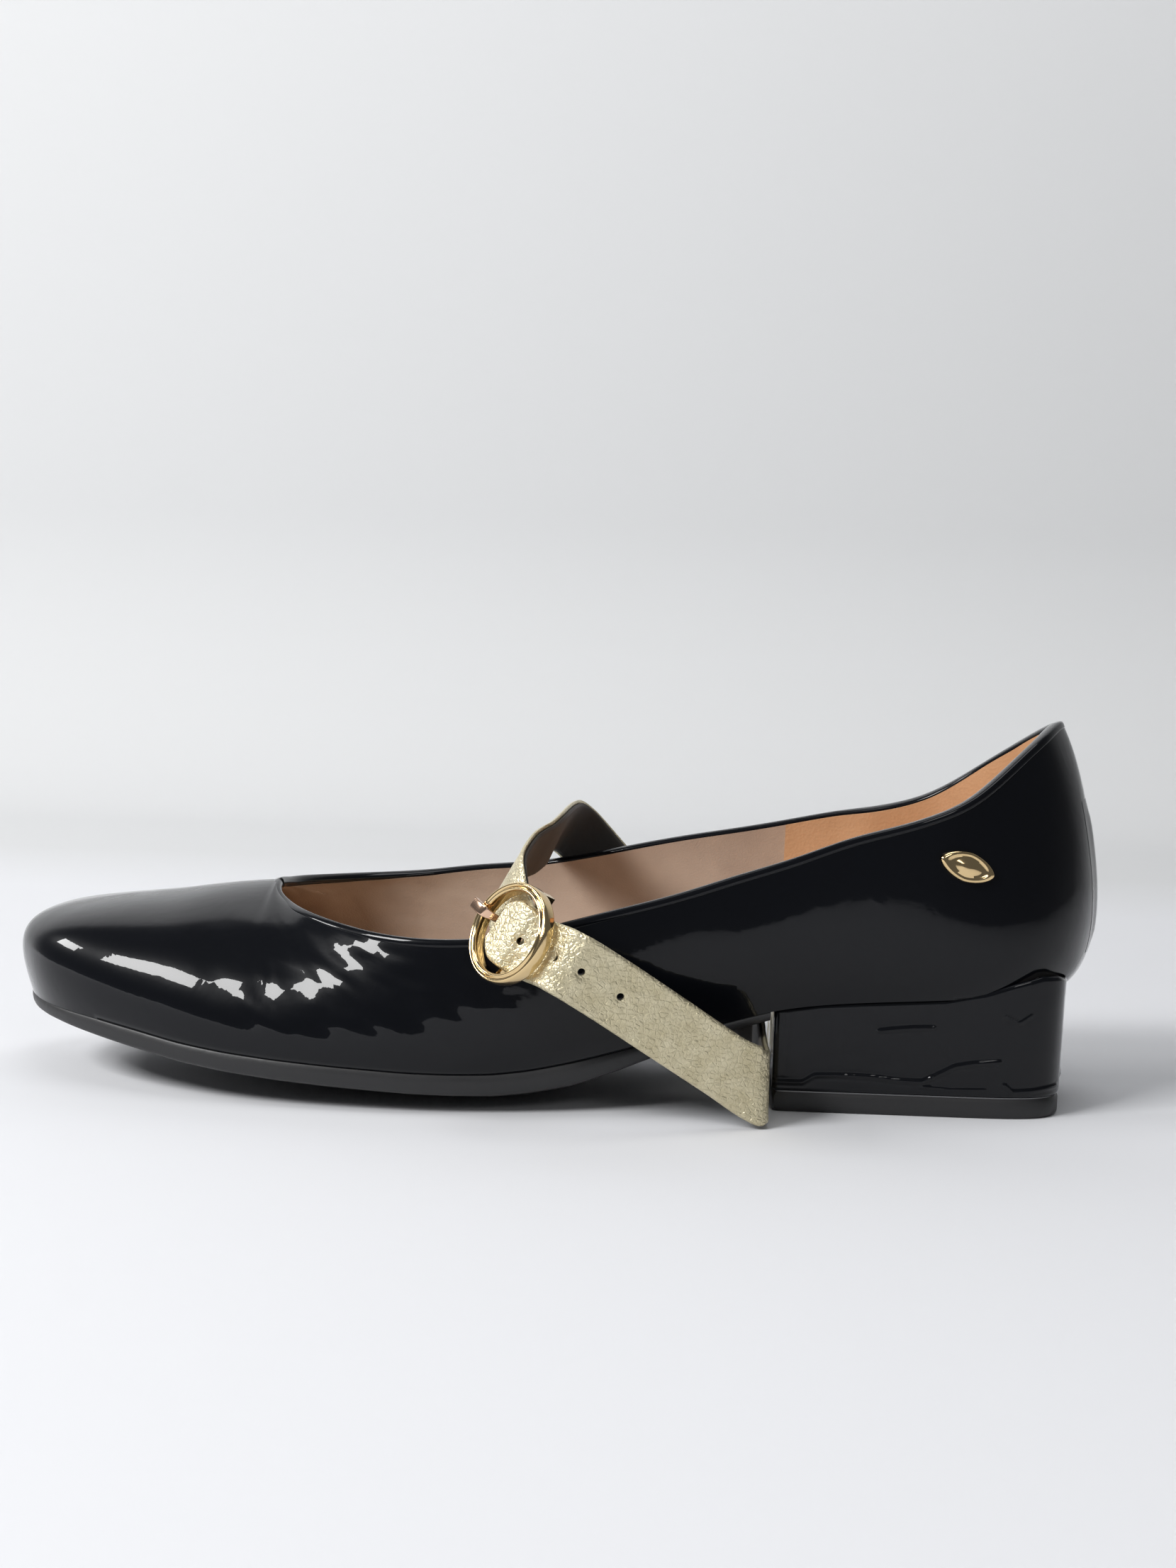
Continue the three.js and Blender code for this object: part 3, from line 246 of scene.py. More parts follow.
HD = [
  [6.0, 17.3, 29.3, 3.6], [6.0, 17.2, 29, 3.5], [5.2, 17, 27.5, 3.4], [5.2, 16.6, 26.5, 3.0],
  [5.1, 16.4, 25.5, 2.4], [5.0, 16.4, 24.5, 1.8], [5.0, 16.6, 24, 1.4], [5.0, 16.8, 24, 1.1],
  [4.8, 16.6, 22, 1.0], [4.6, 16.2, 20, 1.0], [4.5, 15.8, 17, 1.4], [4.4, 15.2, 13.5, 2.0],
  [4.2, 14.4, 9.5, 3.2], [4.0, 13.2, 6, 5.0], [3.8, 12, 3.6, 7.6], [3.9, 11, 2.6, 9.8],
  [4.3, 11, 2.4, 10.8], [4.7, 11.4, 2.3, 11.5], [5.0, 12, 2.2, 12], [5.1, 12, 2.1, 12.6],
  [5.1, 12, 2.1, 13.2], [5.2, 12, 2.1, 13.8], [5.3, 12.2, 2.1, 14.6],
  [5.4, 12.6, 2.2, 15.4], [5.8, 12.8, 2.4, 16.2], [6.4, 12.8, 2.8, 16.8], [7.4, 12.6, 3.8, 17.2],
  [8.6, 12, 5.5, 17.4], [9.5, 11, 7.4, 17.6], [10.0, 10, 8.8, 17.7], [10.1, 9.5, 9.3, 17.7],
]
K = len(ST) - 1
ZF = [[-128, 18.7], [-121, 17.9], [-106, 16.6], [-94, 14.9], [-83, 13.1], [-72, 11.9], [-61, 11.1], [-46, 10.2], [-30, 9.4], [-20, 9.2], [-11, 9.3], [-3, 10.2], [7, 12.1], [17, 14.5], [30, 18], [43, 21.6], [52, 24], [62, 25.4], [74, 26.4], [90, 27.4], [105, 28.3], [122, 28.6]]
ZC = [[-128, 15.9], [-116, 12.9], [-106, 10.2], [-94, 7.2], [-83, 4.7], [-72, 2.6], [-61, 1.1], [-50, 0.25], [-42, 0], [-12, 0], [-4, 0.5], [4, 2.2], [12, 5.2], [20, 8.8], [30, 13.4], [43, 18.6], [52, 21.3]]
TH = [[-128, 2.6], [-116, 2.9], [-106, 3.6], [-94, 3.9], [-46, 4.1], [-20, 4.4], [-2, 4.6], [7, 4.8], [17, 4], [30, 2.6], [43, 2.0], [52, 1.8]]
ZSEAT = [[52, 23.4], [62, 24.6], [74, 25.4], [90, 26.2], [105, 27.0], [122, 28.3]]
ZRIM = [[51, 23.6], [62, 25.4], [74, 26.3], [90, 27.4], [99, 29.3], [105.5, 31.5], [112, 33.2], [116, 33.0], [118, 32.0]]
T_UPPER, T_LINING, T_PUFF, GAP = 1.2, 0.9, 0.8, 0.35
COVER_T, TOP_PIECE_T, BREAST_X, HEEL_BACK_X = 0.8, 4.6, 51.4, 118.3
BOARD_T, SOCK_T, PAD_T = 2.0, 0.9, 2.0


def lerpT(tb, x):
    a = np.array(tb, float)
    return np.interp(x, a[:, 0], a[:, 1])


# ------------------------------------------------------------------ splines
def cyc_eval(Y, u):
    """C2 spline through cyclic samples Y (n, d) at places u."""
    Y = np.asarray(Y, float)
    n = len(Y)
    k = np.arange(n)
    g = (4 + 2 * np.cos(2 * np.pi * k / n)) / 6
    C = np.real(np.fft.ifft(np.fft.fft(Y, axis=0) / g[:, None], axis=0))
    u = np.asarray(u, float) % n
    i = np.floor(u).astype(int)
    f = (u - i)[:, None]
    c = [C[(i + d) % n] for d in (-1, 0, 1, 2)]
    return ((1 - f) ** 3 * c[0] + (3 * f ** 3 - 6 * f ** 2 + 4) * c[1] + (-3 * f ** 3 + 3 * f ** 2 + 3 * f + 1) * c[2] + f ** 3 * c[3]) / 6


def cat(Sx, m):
    """Catmull-Rom through open samples (n, d), m steps between each."""
    Sx = np.asarray(Sx, float)
    n = len(Sx)
    out = []
    for i in range(n - 1):
        a, b_, c, d = Sx[max(i - 1, 0)], Sx[i], Sx[i + 1], Sx[min(i + 2, n - 1)]
        for j in range(m):
            t = j / m
            out.append(0.5 * (2 * b_ + (c - a) * t + (2 * a - 5 * b_ + 4 * c - d) * t * t + (3 * b_ - a - 3 * c + d) * t ** 3))
    out.append(Sx[-1])
    return np.array(out)


def bp(k, s):
    return (ST[k][0], ST[k][1]) if s < 0 else (ST[k][2], ST[k][3])


def out_n(k, s):
    def nx(kk):
        return bp(-kk, -s) if kk < 0 else bp(2 * K - kk, -s) if kk > K else bp(kk, s)
    a, c = nx(k - 1), nx(k + 1)
    d = (c[0] - a[0], c[1] - a[1])
    l = math.hypot(*d)
    return (d[1] / l, -d[0] / l) if s < 0 else (-d[1] / l, d[0] / l)


def ctrl(k, s):
    bx, by = bp(k, s)
    T = ST[k][4] if s < 0 else ST[k][5]
    n1, h = out_n(k, s), HD[k]
    Bp = np.array([bx, by, float(lerpT(ZF, bx))])
    dx, dy = bx - T[0], by - T[1]
    l = math.hypot(dx, dy)
    w = min(1, max(0, (15 - k) / 5))
    n2 = unit([n1[0] * (1 - w) + w * dx / l, n1[1] * (1 - w) + w * dy / l, 0])
    return Bp, np.array([n1[0] * h[0], n1[1] * h[0], h[1]]), np.array([n2[0] * h[2], n2[1] * h[2], -h[3]]), np.array(T, float)


# cyclic index: 0 toe, +k inner side, -k outer side, K heel back
def side_k(j):
    j = j % (2 * K)
    return (j, 1) if j <= K else (2 * K - j, -1)


CT = [ctrl(*side_k(j)) for j in range(2 * K)]
B0 = np.array([c[0] for c in CT])
D1 = np.array([c[1] for c in CT])
D2 = np.array([c[2] for c in CT])
MS = 6                                   # fine columns between stations
UU = np.arange(2 * K * MS) / MS          # 0 .. 2K
NU = len(UU)
TH_ = 9                                  # the throat station
loopT = [ctrl(*side_k(j))[3] for j in range(TH_, 2 * K - TH_ + 1)]      # throat, inner side, heel, outer side, throat
loopT = loopT[:-1]                       # cyclic through the throat
seamT = cat([ctrl(k, 1)[3] for k in range(4, TH_ + 1)], 12)


def topline(u):
    u = u % (2 * K)
    kk = min(u, 2 * K - u)
    if kk < TH_:
        if kk <= 4:
            return seamT[0]
        q = (kk - 4) * 12
        i = min(int(q), len(seamT) - 2)
        return seamT[i] + (seamT[i + 1] - seamT[i]) * (q - i)
    return cyc_eval(loopT, [u - TH_])[0]


P0 = cyc_eval(B0, UU)
P0[:, 2] = 0
for _ in range(1):
    P0[:, 2] = lerpT(ZF, P0[:, 0])
# light smoothing of the feather height along the outline
for _ in range(6):
    P0[:, 2] = 0.25 * np.roll(P0[:, 2], 1) + 0.5 * P0[:, 2] + 0.25 * np.roll(P0[:, 2], -1)
P3 = np.array([topline(u) for u in UU])
P3S = P3.copy()
for _ in range(60):
    P3S = 0.25 * np.roll(P3S, 1, 0) + 0.5 * P3S + 0.25 * np.roll(P3S, -1, 0)
E1 = cyc_eval(D1, UU)
E2 = cyc_eval(D2, UU)
tn = np.roll(P0, -1, 0)[:, :2] - np.roll(P0, 1, 0)[:, :2]
ON = unit(np.stack([-tn[:, 1], tn[:, 0]], 1))
if (ON[int(15 * MS)] * [0, 1]).sum() < 0:
    ON = -ON
outl = P0[:, :2]
half_m = outl[:K * MS + 1]
half_l = np.vstack([outl[K * MS:], outl[:1]])[::-1]
hm = half_m[np.argsort(half_m[:, 0])]
hl = half_l[np.argsort(half_l[:, 0])]


def zsb(x, y):
    x = np.asarray(x, float)
    y = np.asarray(y, float)
    xc = np.clip(x, -127.1, 121.3)
    l = np.interp(xc, hl[:, 0], hl[:, 1])
    mm = np.interp(xc, hm[:, 0], hm[:, 1])
    c, h = (l + mm) / 2, np.maximum(3, (mm - l) / 2)
    e = np.clip(np.abs((y - c) / h), 0, 1)
    zf = lerpT(ZF, x)
    zc = np.where(x < 52, lerpT(ZC, x) + lerpT(TH, x) + GAP, lerpT(ZSEAT, x))
    return zc + (zf - zc) * e ** 2.2


# ------------------------------------------------------------------ the upper's sheet
TT = 1 - (1 - np.linspace(0, 1, 34)) ** 1.0
MRG = [6.0, 3.0, 1.2]
RBR = len(MRG)
NRW = RBR + len(TT)
G = np.zeros((NU, NRW, 3))
for i, mrg in enumerate(MRG):
    q = P0[:, :2] - ON * mrg
    G[:, i, :2] = q
    G[:, i, 2] = zsb(q[:, 0], q[:, 1])
for i, t in enumerate(TT):
    wt = float(smooth(t, 0.45, 0.97))
    PT = P3S * (1 - wt) + P3 * wt
    G[:, RBR + i] = (1 - t) ** 3 * P0 + 3 * t * (1 - t) ** 2 * (P0 + E1) + 3 * t * t * (1 - t) * (PT + E2) + t ** 3 * PT


def grid_normals(Gr):
    du = np.roll(Gr, -1, 0) - np.roll(Gr, 1, 0)
    dv = np.empty_like(Gr)
    dv[:, 1:-1] = Gr[:, 2:] - Gr[:, :-2]
    dv[:, 0] = Gr[:, 1] - Gr[:, 0]
    dv[:, -1] = Gr[:, -1] - Gr[:, -2]
    n = np.cross(du, dv)
    small = np.linalg.norm(du, axis=2) < 1e-3
    n = unit(n)
    for r_ in range(1, n.shape[1]):
        bad = small[:, r_]
        n[bad, r_] = n[bad, r_ - 1]
    return n


GN = grid_normals(G)
if GN[15 * MS, NRW // 2][1] < 0:
    GN = -GN
# one normal where both sides meet along the vamp's centre line
KK = np.minimum(UU, 2 * K - UU)
seam = KK <= TH_ + 1e-6
for i in range(NU):
    if seam[i]:
        j = (-i) % NU
        GN[i, -1] = GN[j, -1] = unit(GN[i, -1] + GN[j, -1])
pole = KK <= 4 + 1e-6
pn = unit(GN[pole, -1].sum(0))
GN[pole, -1] = pn


def nz(x, y, z, sc, seed=0.0):
    return noise.noise(Vector((x * sc + seed, y * sc + seed * 1.7, z * sc - seed)))


# wrinkles of the patent where the vamp has flexed, and a faint waviness elsewhere
for i in range(NU):
    for j in range(RBR + 1, NRW):
        x, y, z = G[i, j]
        t = TT[j - RBR]
        edge_ = float(smooth(t, 0.04, 0.2) * (1 - smooth(t, 0.86, 1.0) * smooth(KK[i], 6, 9)))
        lat = 1.0 if y < 0 else 0.8
        w_flex = float(smooth(x, -88, -62) * (1 - smooth(x, -14, 12))) * float(smooth(abs(y), 14, 27)) * lat
        w_toe = float(1 - smooth(x, -96, -84))
        d = 0.05 * nz(x, y, z, 0.045, 3.1) * (1 - 0.7 * w_toe)
        if w_flex > 0.01:
            q = x * 0.8 + z * 0.9
            a = nz(q * 2.1, y * 0.9, (z - x) * 0.55, 0.075, 7.0)
            c = nz(q * 1.1, y, z * 2.0, 0.16, 1.3)
            d += w_flex * (0.42 * a + 0.16 * c - 0.12 * math.exp(-(a / 0.06) ** 2))
        w_arch = float(smooth(x, -6, 14) * (1 - smooth(x, 40, 60))) * float(1 - smooth(t, 0.6, 0.9))
        d += 0.10 * w_arch * nz(x, y, z, 0.09, 5.0)
        G[i, j] += GN[i, j] * d * edge_ * 1.0


class Sheet:
    """Vertices and outward faces of a grid, with repeated points merged."""

    def __init__(self, Gr, N, cyclic=True):
        self.V, self.N, self.F = [], [], []
        ids, at = {}, np.zeros(Gr.shape[:2], int)
        for i in range(Gr.shape[0]):
            for j in range(Gr.shape[1]):
                k_ = tuple(np.round(Gr[i, j], 3))
                if k_ not in ids:
                    ids[k_] = len(self.V)
                    self.V.append(Gr[i, j])
                    self.N.append(N[i, j])
                at[i, j] = ids[k_]
        self.at = at
        n = Gr.shape[0]
        for i in range(n if cyclic else n - 1):
            for j in range(Gr.shape[1] - 1):
                q = [at[i, j], at[(i + 1) % n, j], at[(i + 1) % n, j + 1], at[i, j + 1]]
                q = [v_ for a_, v_ in enumerate(q) if v_ != q[a_ - 1]]
                if len(set(q)) >= 3:
                    self.F.append((q, i, j))
        self.V = np.array(self.V)
        guess = np.array(self.N)
        acc = np.zeros_like(self.V)
        for q, _, _ in self.F:
            for a_ in range(1, len(q) - 1):
                n_ = np.cross(self.V[q[a_]] - self.V[q[0]], self.V[q[a_ + 1]] - self.V[q[0]])
                for v_ in (q[0], q[a_], q[a_ + 1]):
                    acc[v_] += n_
        if (unit(acc) * guess).sum() < 0:
            acc = -acc
        self.N = unit(acc)

    def shell(self, keep, o1, o2, edge_in=0.0):
        """Closed solid between two offsets of the faces that keep(i, j) picks."""
        fs = [q for q, i, j in self.F if keep(i, j)]
        used = sorted({v_ for q in fs for v_ in q})
        mp = {v_: a_ for a_, v_ in enumerate(used)}
        V_, N_ = self.V[used], self.N[used]
        a1 = np.array([o1(p_) for p_ in V_]) if callable(o1) else np.full(len(V_), float(o1))
        a2 = np.array([o2(p_) for p_ in V_]) if callable(o2) else np.full(len(V_), float(o2))
        ed = {}
        for q in fs:
            for a_ in range(len(q)):
                e = (q[a_], q[(a_ + 1) % len(q)])
                if (e[1], e[0]) in ed:
                    del ed[(e[1], e[0])]
                else:
                    ed[e] = True
        if edge_in:
            for e in ed:
                a1[mp[e[0]]] -= edge_in
                a1[mp[e[1]]] -= edge_in * 0
        verts = np.vstack([V_ + N_ * a1[:, None], V_ + N_ * a2[:, None]])
        n = len(used)
        faces = [[mp[v_] for v_ in q] for q in fs] + [[mp[v_] + n for v_ in reversed(q)] for q in fs]
        for (a_, b_) in ed:
            faces.append([mp[b_], mp[a_], mp[a_] + n, mp[b_] + n])
        return verts, faces


def make(name, verts, faces, material, body="shoe", replaces=(), slot=None, smooth_=True, sharp=None, merge=True, ride=True):
    me = bpy.data.meshes.new(name)
    me.from_pydata(W(verts).tolist(), [], [list(map(int, f_)) for f_ in faces])
    bm = bmesh.new()
    bm.from_mesh(me)
    if merge:
        bmesh.ops.remove_doubles(bm, verts=bm.verts, dist=2e-6)
    bmesh.ops.dissolve_degenerate(bm, edges=bm.edges, dist=1e-7)
    bmesh.ops.recalc_face_normals(bm, faces=bm.faces)
    for f_ in bm.faces:
        f_.smooth = smooth_
    if sharp is not None:
        for e_ in bm.edges:
            if len(e_.link_faces) == 2 and e_.calc_face_angle(0) > math.radians(sharp):
                e_.smooth = False
    bm.to_mesh(me)
    bm.free()
    me.update()
    ob = bpy.data.objects.new(name, me)
    bpy.context.scene.collection.objects.link(ob)
    me.materials.append(M[material])
    if ride:
        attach(ob, body)
    if replaces:
        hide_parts(*replaces)
    return ob


def deep(p_):
    return (T_PUFF + GAP) * max(1 - float(smooth(p_[0], -92, -82)), float(smooth(p_[0], 66, 77)))


SH = Sheet(G, GN)
# at the throat the sheet's two directions run together, so its normals there are carried across from either side
c_a, c_b = int(11.5 * MS), NU - int(11.5 * MS)
n_a, n_b = SH.N[SH.at[c_a, -1]], SH.N[SH.at[c_b, -1]]
n_t = unit(np.array([-0.22, 0.02, 0.97]))
for i in range(NU):
    if KK[i] < TH_ - 1e-6 or KK[i] > 11.5:
        continue
    w_ = (KK[i] - TH_) / 2.5
    want = unit(n_t * (1 - w_) + (n_a if i < NU // 2 else n_b) * w_)
    for j in range(NRW - 9, NRW):
        q_ = SH.at[i, j]
        fade = min(1.0, (j - (NRW - 10)) / 4)
        if SH.N[q_].dot(want) < 0.9:
            SH.N[q_] = unit(SH.N[q_] * 0.0 + want)
        else:
            SH.N[q_] = unit(SH.N[q_] * (1 - fade) + want * fade)
COLQ = int(21 * MS)                       # the quarter lining starts at this column


def kcol(i):
    return min((i + 0.5), NU - (i + 0.5))


v_, f_ = SH.shell(lambda i, j: True, 0.0, -T_UPPER)
make("patent_upper", v_, f_, "patent", replaces=["upper_shell"], slot="patent_leather", sharp=60)
v_, f_ = SH.shell(lambda i, j: j >= RBR + 2 and kcol(i) < COLQ, lambda p_: -(T_UPPER + 0.1 + deep(p_)), lambda p_: -(T_UPPER + GAP + T_LINING + deep(p_)))
make("textile_vamp_lining", v_, f_, "textile", replaces=["vamp_lining"], slot="textile_lining", sharp=60)
v_, f_ = SH.shell(lambda i, j: j >= RBR + 2 and kcol(i) > COLQ, lambda p_: -(T_UPPER + 0.1 + deep(p_)), lambda p_: -(T_UPPER + GAP + T_LINING + 0.2 + deep(p_)))
make("tan_quarter_lining", v_, f_, "tan", replaces=["quarter_lining"], slot="tan_lining", sharp=60)
v_, f_ = SH.shell(lambda i, j: j >= RBR + 2 and kcol(i) < 5 * MS, -(T_UPPER + 0.1), -(T_UPPER + GAP + T_PUFF - 0.2))
make("toe_puff_sheet", v_, f_, "stiff", replaces=["toe_puff"], slot="stiffener", sharp=60)
v_, f_ = SH.shell(lambda i, j: RBR + 2 <= j < RBR + 22 and kcol(i) > 23.5 * MS, -(T_UPPER + 0.1), -(T_UPPER + GAP + T_PUFF - 0.2))
make("heel_counter_sheet", v_, f_, "stiff", replaces=["heel_counter"], slot="stiffener", sharp=60)
stay_lo, stay_hi = G[K * MS, RBR + 6, 2], G[K * MS, RBR + 24, 2]
stay_t = lambda p_: 0.06 + 0.44 * float(smooth(min(p_[2] - stay_lo, stay_hi - p_[2]), 0.0, 6.0)) * float(1 - smooth(abs(p_[1]), 2.6, 4.6))
v_, f_ = SH.shell(lambda i, j: RBR + 6 <= j < RBR + 24 and kcol(i) > 29 * MS, stay_t, 0.02)
make("back_stay_strip", v_, f_, "patent", replaces=["back_stay"], slot="patent_leather", sharp=60)

# ------------------------------------------------------------------ topline binding: a folded bead round the opening
open_cols = [i for i in range(NU) if KK[i] >= TH_ - 1e-6]
C_ = G[open_cols, -1]
VN_ = SH.N[SH.at[open_cols, -1]]
n_ = len(open_cols)
tan_ = unit(np.roll(C_, -1, 0) - np.roll(C_, 1, 0))
up_ = unit(np.cross(VN_, tan_))
mid_ = n_ // 2
if up_[mid_, 2] < 0:
    up_[mid_] *= -1
for i in range(mid_ + 1, n_):
    if up_[i].dot(up_[i - 1]) < 0:
        up_[i] *= -1
for i in range(mid_ - 1, -1, -1):
    if up_[i].dot(up_[i + 1]) < 0:
        up_[i] *= -1
up_[0] = up_[-1] = unit(np.array([0.97, 0, 0.16]))
VN_ = VN_.copy()
VN_[0] = VN_[-1] = unit(VN_[0] + VN_[-1])
dup = np.linalg.norm(C_[0] - C_[-1]) < 0.01
wd_ = np.array([T_UPPER + GAP + T_LINING + deep(p_) for p_ in C_])
# smooth the frame round the throat so the bead doesn't kink
for _ in range(8):
    up_ = unit(np.roll(up_, 1, 0) + 2 * up_ + np.roll(up_, -1, 0))
    VN_ = unit(np.roll(VN_, 1, 0) + 2 * VN_ + np.roll(VN_, -1, 0))
sec = []
for a_ in np.linspace(0, math.pi, 9):
    sec.append((0.5 + 0.5 * math.cos(a_), math.sin(a_)))
verts, faces = [], []
for i in range(n_):
    w_ = wd_[i] + 0.1
    pts = [(-0.02, -1.1), (0.16, -0.9), (0.20, -0.2)] + [(0.16 - w_ * (1 - c_), 0.25 + 0.72 * s_) for c_, s_ in sec] + [(0.16 - w_, -0.5), (0.5 - w_, -0.9)]
    for o_, h_ in pts:
        verts.append(C_[i] + VN_[i] * o_ + up_[i] * h_)
npt = len(pts)
for i in range(n_):
    a_, b_ = i * npt, ((i + 1) % n_) * npt
    for j in range(npt):
        k_ = (j + 1) % npt
        faces.append([a_ + j, b_ + j, b_ + k_, a_ + k_])
make("folded_topline", verts, faces, "patent", replaces=["topline_binding"], slot="patent_leather")

# ------------------------------------------------------------------ bottom: outsole and sock
def rim_pts(u, s, inset):
    """Outline point at fractional station u on side s, moved inwards."""
    i = (u if s > 0 else 2 * K - u) % (2 * K) * MS
    i0 = int(math.floor(i)) % NU
    i1 = (i0 + 1) % NU
    f = i - math.floor(i)
    p_ = P0[i0, :2] * (1 - f) + P0[i1, :2] * f
    n = unit(ON[i0] * (1 - f) + ON[i1] * f)
    return p_ - n * inset


def flat_z(x, y):
    z = zsb(x, y) - GAP - lerpT(TH, x)
    return np.where(z < 0.2, 0.0, z)


def lathe_slab(us, rows):
    """Rows are (inset, height function) round the section, from the top middle out, down and back; mirrored across."""
    sections = []
    for u in us:
        ring = []
        cen = (rim_pts(u, -1, 0) + rim_pts(u, 1, 0)) / 2
        for s, order in ((1, rows), (-1, rows[::-1])):
            for inset, frac, fz in order:
                e = rim_pts(u, s, inset)
                q = cen + (e - cen) * frac
                ring.append([q[0], q[1], float(fz(q[0], q[1]))])
        sections.append(ring)
    sections = np.array(sections)
    n, m_ = sections.shape[:2]
    verts = sections.reshape(-1, 3)
    faces = []
    for i in range(n - 1):
        for j in range(m_):
            k_ = (j + 1) % m_
            faces.append([i * m_ + j, (i + 1) * m_ + j, (i + 1) * m_ + k_, i * m_ + k_])
    faces.append(list(range(m_)))
    faces.append([(n - 1) * m_ + j for j in reversed(range(m_))])
    return verts, faces


top_ = lambda x, y: zsb(x, y) - 0.06
bot_ = flat_z
fr = [0.0, 0.2, 0.4, 0.6, 0.78, 0.9]
rows = [(0.4, f_, top_) for f_ in fr] + [(0.3, 1, top_), (0.0, 1, lambda x, y: zsb(x, y) - 0.5),
        (0.0, 1, lambda x, y: 0.55 * zsb(x, y) + 0.45 * flat_z(x, y)), (0.15, 1, lambda x, y: flat_z(x, y) + 0.9), (0.45, 1, lambda x, y: flat_z(x, y) + 0.35), (1.0, 1, lambda x, y: flat_z(x, y) + 0.04), (1.6, 1, bot_)] + [(1.6, f_, bot_) for f_ in fr[::-1]]
us = list(np.arange(0.02, 2, 0.08)) + list(np.arange(2, 20.6, 0.2)) + [20.68]
v_, f_ = lathe_slab(us, rows)
make("rubber_outsole", v_, f_, "rubber", replaces=["outsole"], slot="sole_rubber", sharp=50)

board_hi = T_UPPER + GAP + 0.15 + BOARD_T


def lift_(x):
    return 0.1 + (PAD_T + 0.3) * smooth(x, 52, 66)


sock_lo = lambda x, y: zsb(x, y) + board_hi + 0.25 + lift_(x)
sock_hi = lambda x, y: zsb(x, y) + board_hi + 0.25 + lift_(x) + SOCK_T
rows = [(1.6, f_, sock_hi) for f_ in fr] + [(1.2, 1, sock_hi), (0.9, 1, lambda x, y: sock_hi(x, y) - 0.3), (3.4, 1, sock_lo)] + [(3.9, f_, sock_lo) for f_ in fr[::-1]]
us = list(np.arange(0.15, 2, 0.12)) + list(np.arange(2, 28, 0.25)) + list(np.arange(28, 29.75, 0.12))
v_, f_ = lathe_slab(us, rows)
make("tan_sock", v_, f_, "tan", replaces=["sock_liner"], slot="sock_leather", sharp=50)


# ------------------------------------------------------------------ heel
def heel_ring(inset, tz, th):
    xb, xk = BREAST_X + inset, HEEL_BACK_X + 0.8 * tz - inset
    yl, ym = -24.8 - 1.9 * tz + inset, 23.2 + 1.4 * tz - inset
    yc, hw, xm, pw = (yl + ym) / 2, (ym - yl) / 2, 84.0, 2 / 5.2
    pts = []
    for kind, a in th:
        if kind == "c0":
            pts.append([xb + 1.4 * (1 - math.cos(a)), yl + 1.4 * (1 - math.sin(a))])
        elif kind == "l":
            pts.append([xb + 1.4 + (xm - xb - 1.4) * a, yl])
        elif kind == "s":
            c, s = math.cos(a), math.sin(a)
            pts.append([xm + (xk - xm) * abs(c) ** pw, yc + hw * math.copysign(abs(s) ** pw, s)])
        elif kind == "m":
            pts.append([xm + (xb + 1.4 - xm) * a, ym])
        elif kind == "c1":
            pts.append([xb + 1.4 * (1 - math.sin(a)), ym - 1.4 * (1 - math.cos(a))])
        else:
            pts.append([xb, ym - 1.4 + (yl - ym + 2.8) * a])
    return np.array(pts)


ths = [("c0", a) for a in np.linspace(0, math.pi / 2, 6)][:-1] + [("l", a) for a in np.linspace(0, 1, 66)][:-1]
fine = [("s", a) for a in np.linspace(-math.pi / 2, math.pi / 2, 4001)]
fp = heel_ring(0, 0.5, fine)
al = np.concatenate([[0], np.cumsum(np.linalg.norm(np.diff(fp, axis=0), axis=1))])
for q in np.linspace(0, al[-1], 210)[:-1]:
    ths.append(("s", float(np.interp(q, al, np.linspace(-math.pi / 2, math.pi / 2, 4001)))))
ths += [("m", a) for a in np.linspace(0, 1, 66)][:-1] + [("c1", a) for a in np.linspace(0, math.pi / 2, 6)] + [("b", a) for a in np.linspace(0, 1, 50)][1:-1]
NRG = len(ths)


def rim_z(x):
    return lerpT(ZRIM, x)


# creases of the heel cover: polylines of (x, z) on the outer side, others by arc place
CR_L = [
    ([(54.4, 8.5), (54.4, 12), (54.8, 23)], 0.10, 0.5),
    ([(75.5, 19.7), (79, 20.2), (83, 20.6), (87.6, 20.8)], 0.42, 0.5),
    ([(87.4, 9.1), (90, 10.5), (92.8, 12.0), (97, 12.8), (102.8, 13.3)], 0.42, 0.5),
    ([(52, 7.0), (58.4, 7.0), (61.2, 8.8), (66, 9.0), (73.8, 8.9), (80, 8.3), (85.2, 8.1), (87.6, 9.2)], 0.36, 0.5),
    ([(88.3, 18.4), (90, 16), (91.4, 13.8)], 0.16, 0.35),
    ([(104.0, 8.0), (106.0, 6.3), (111, 6.6), (117.4, 7.4)], 0.38, 0.5),
    ([(85.2, 7.0), (91, 6.5), (97.4, 6.6), (100.6, 6.7)], 0.18, 0.4),
    ([(103.6, 24.0), (106.8, 22.3), (109.8, 24.3)], 0.24, 0.4),
    ([(67.4, 21), (67.2, 14), (67.6, 9.2)], 0.05, 0.7),
]
CR_M = [
    ([(54.6, 4.8), (54.8, 23)], 0.28, 0.55),
    ([(60, 9), (66, 12), (70, 17), (77, 19.5)], 0.24, 0.5),
    ([(72, 7.5), (80, 8.6), (88, 7.4), (95, 10.5), (99, 15)], 0.26, 0.5),
    ([(90, 20.5), (97, 18.8), (104, 21.5), (110, 20.5)], 0.26, 0.5),
    ([(103, 8.5), (109, 11.5), (114, 10.5)], 0.22, 0.5),
]
CR_B = [  # heel back: (y, z)
    ([(-16, 9), (-9, 11.5), (-3, 10.4), (4, 13.8), (9, 13.2)], 0.26, 0.5),
    ([(-3, 10.4), (-1.5, 17), (-4, 23)], 0.22, 0.5),
    ([(6, 23), (12, 20.5), (17, 21.8)], 0.22, 0.5),
]


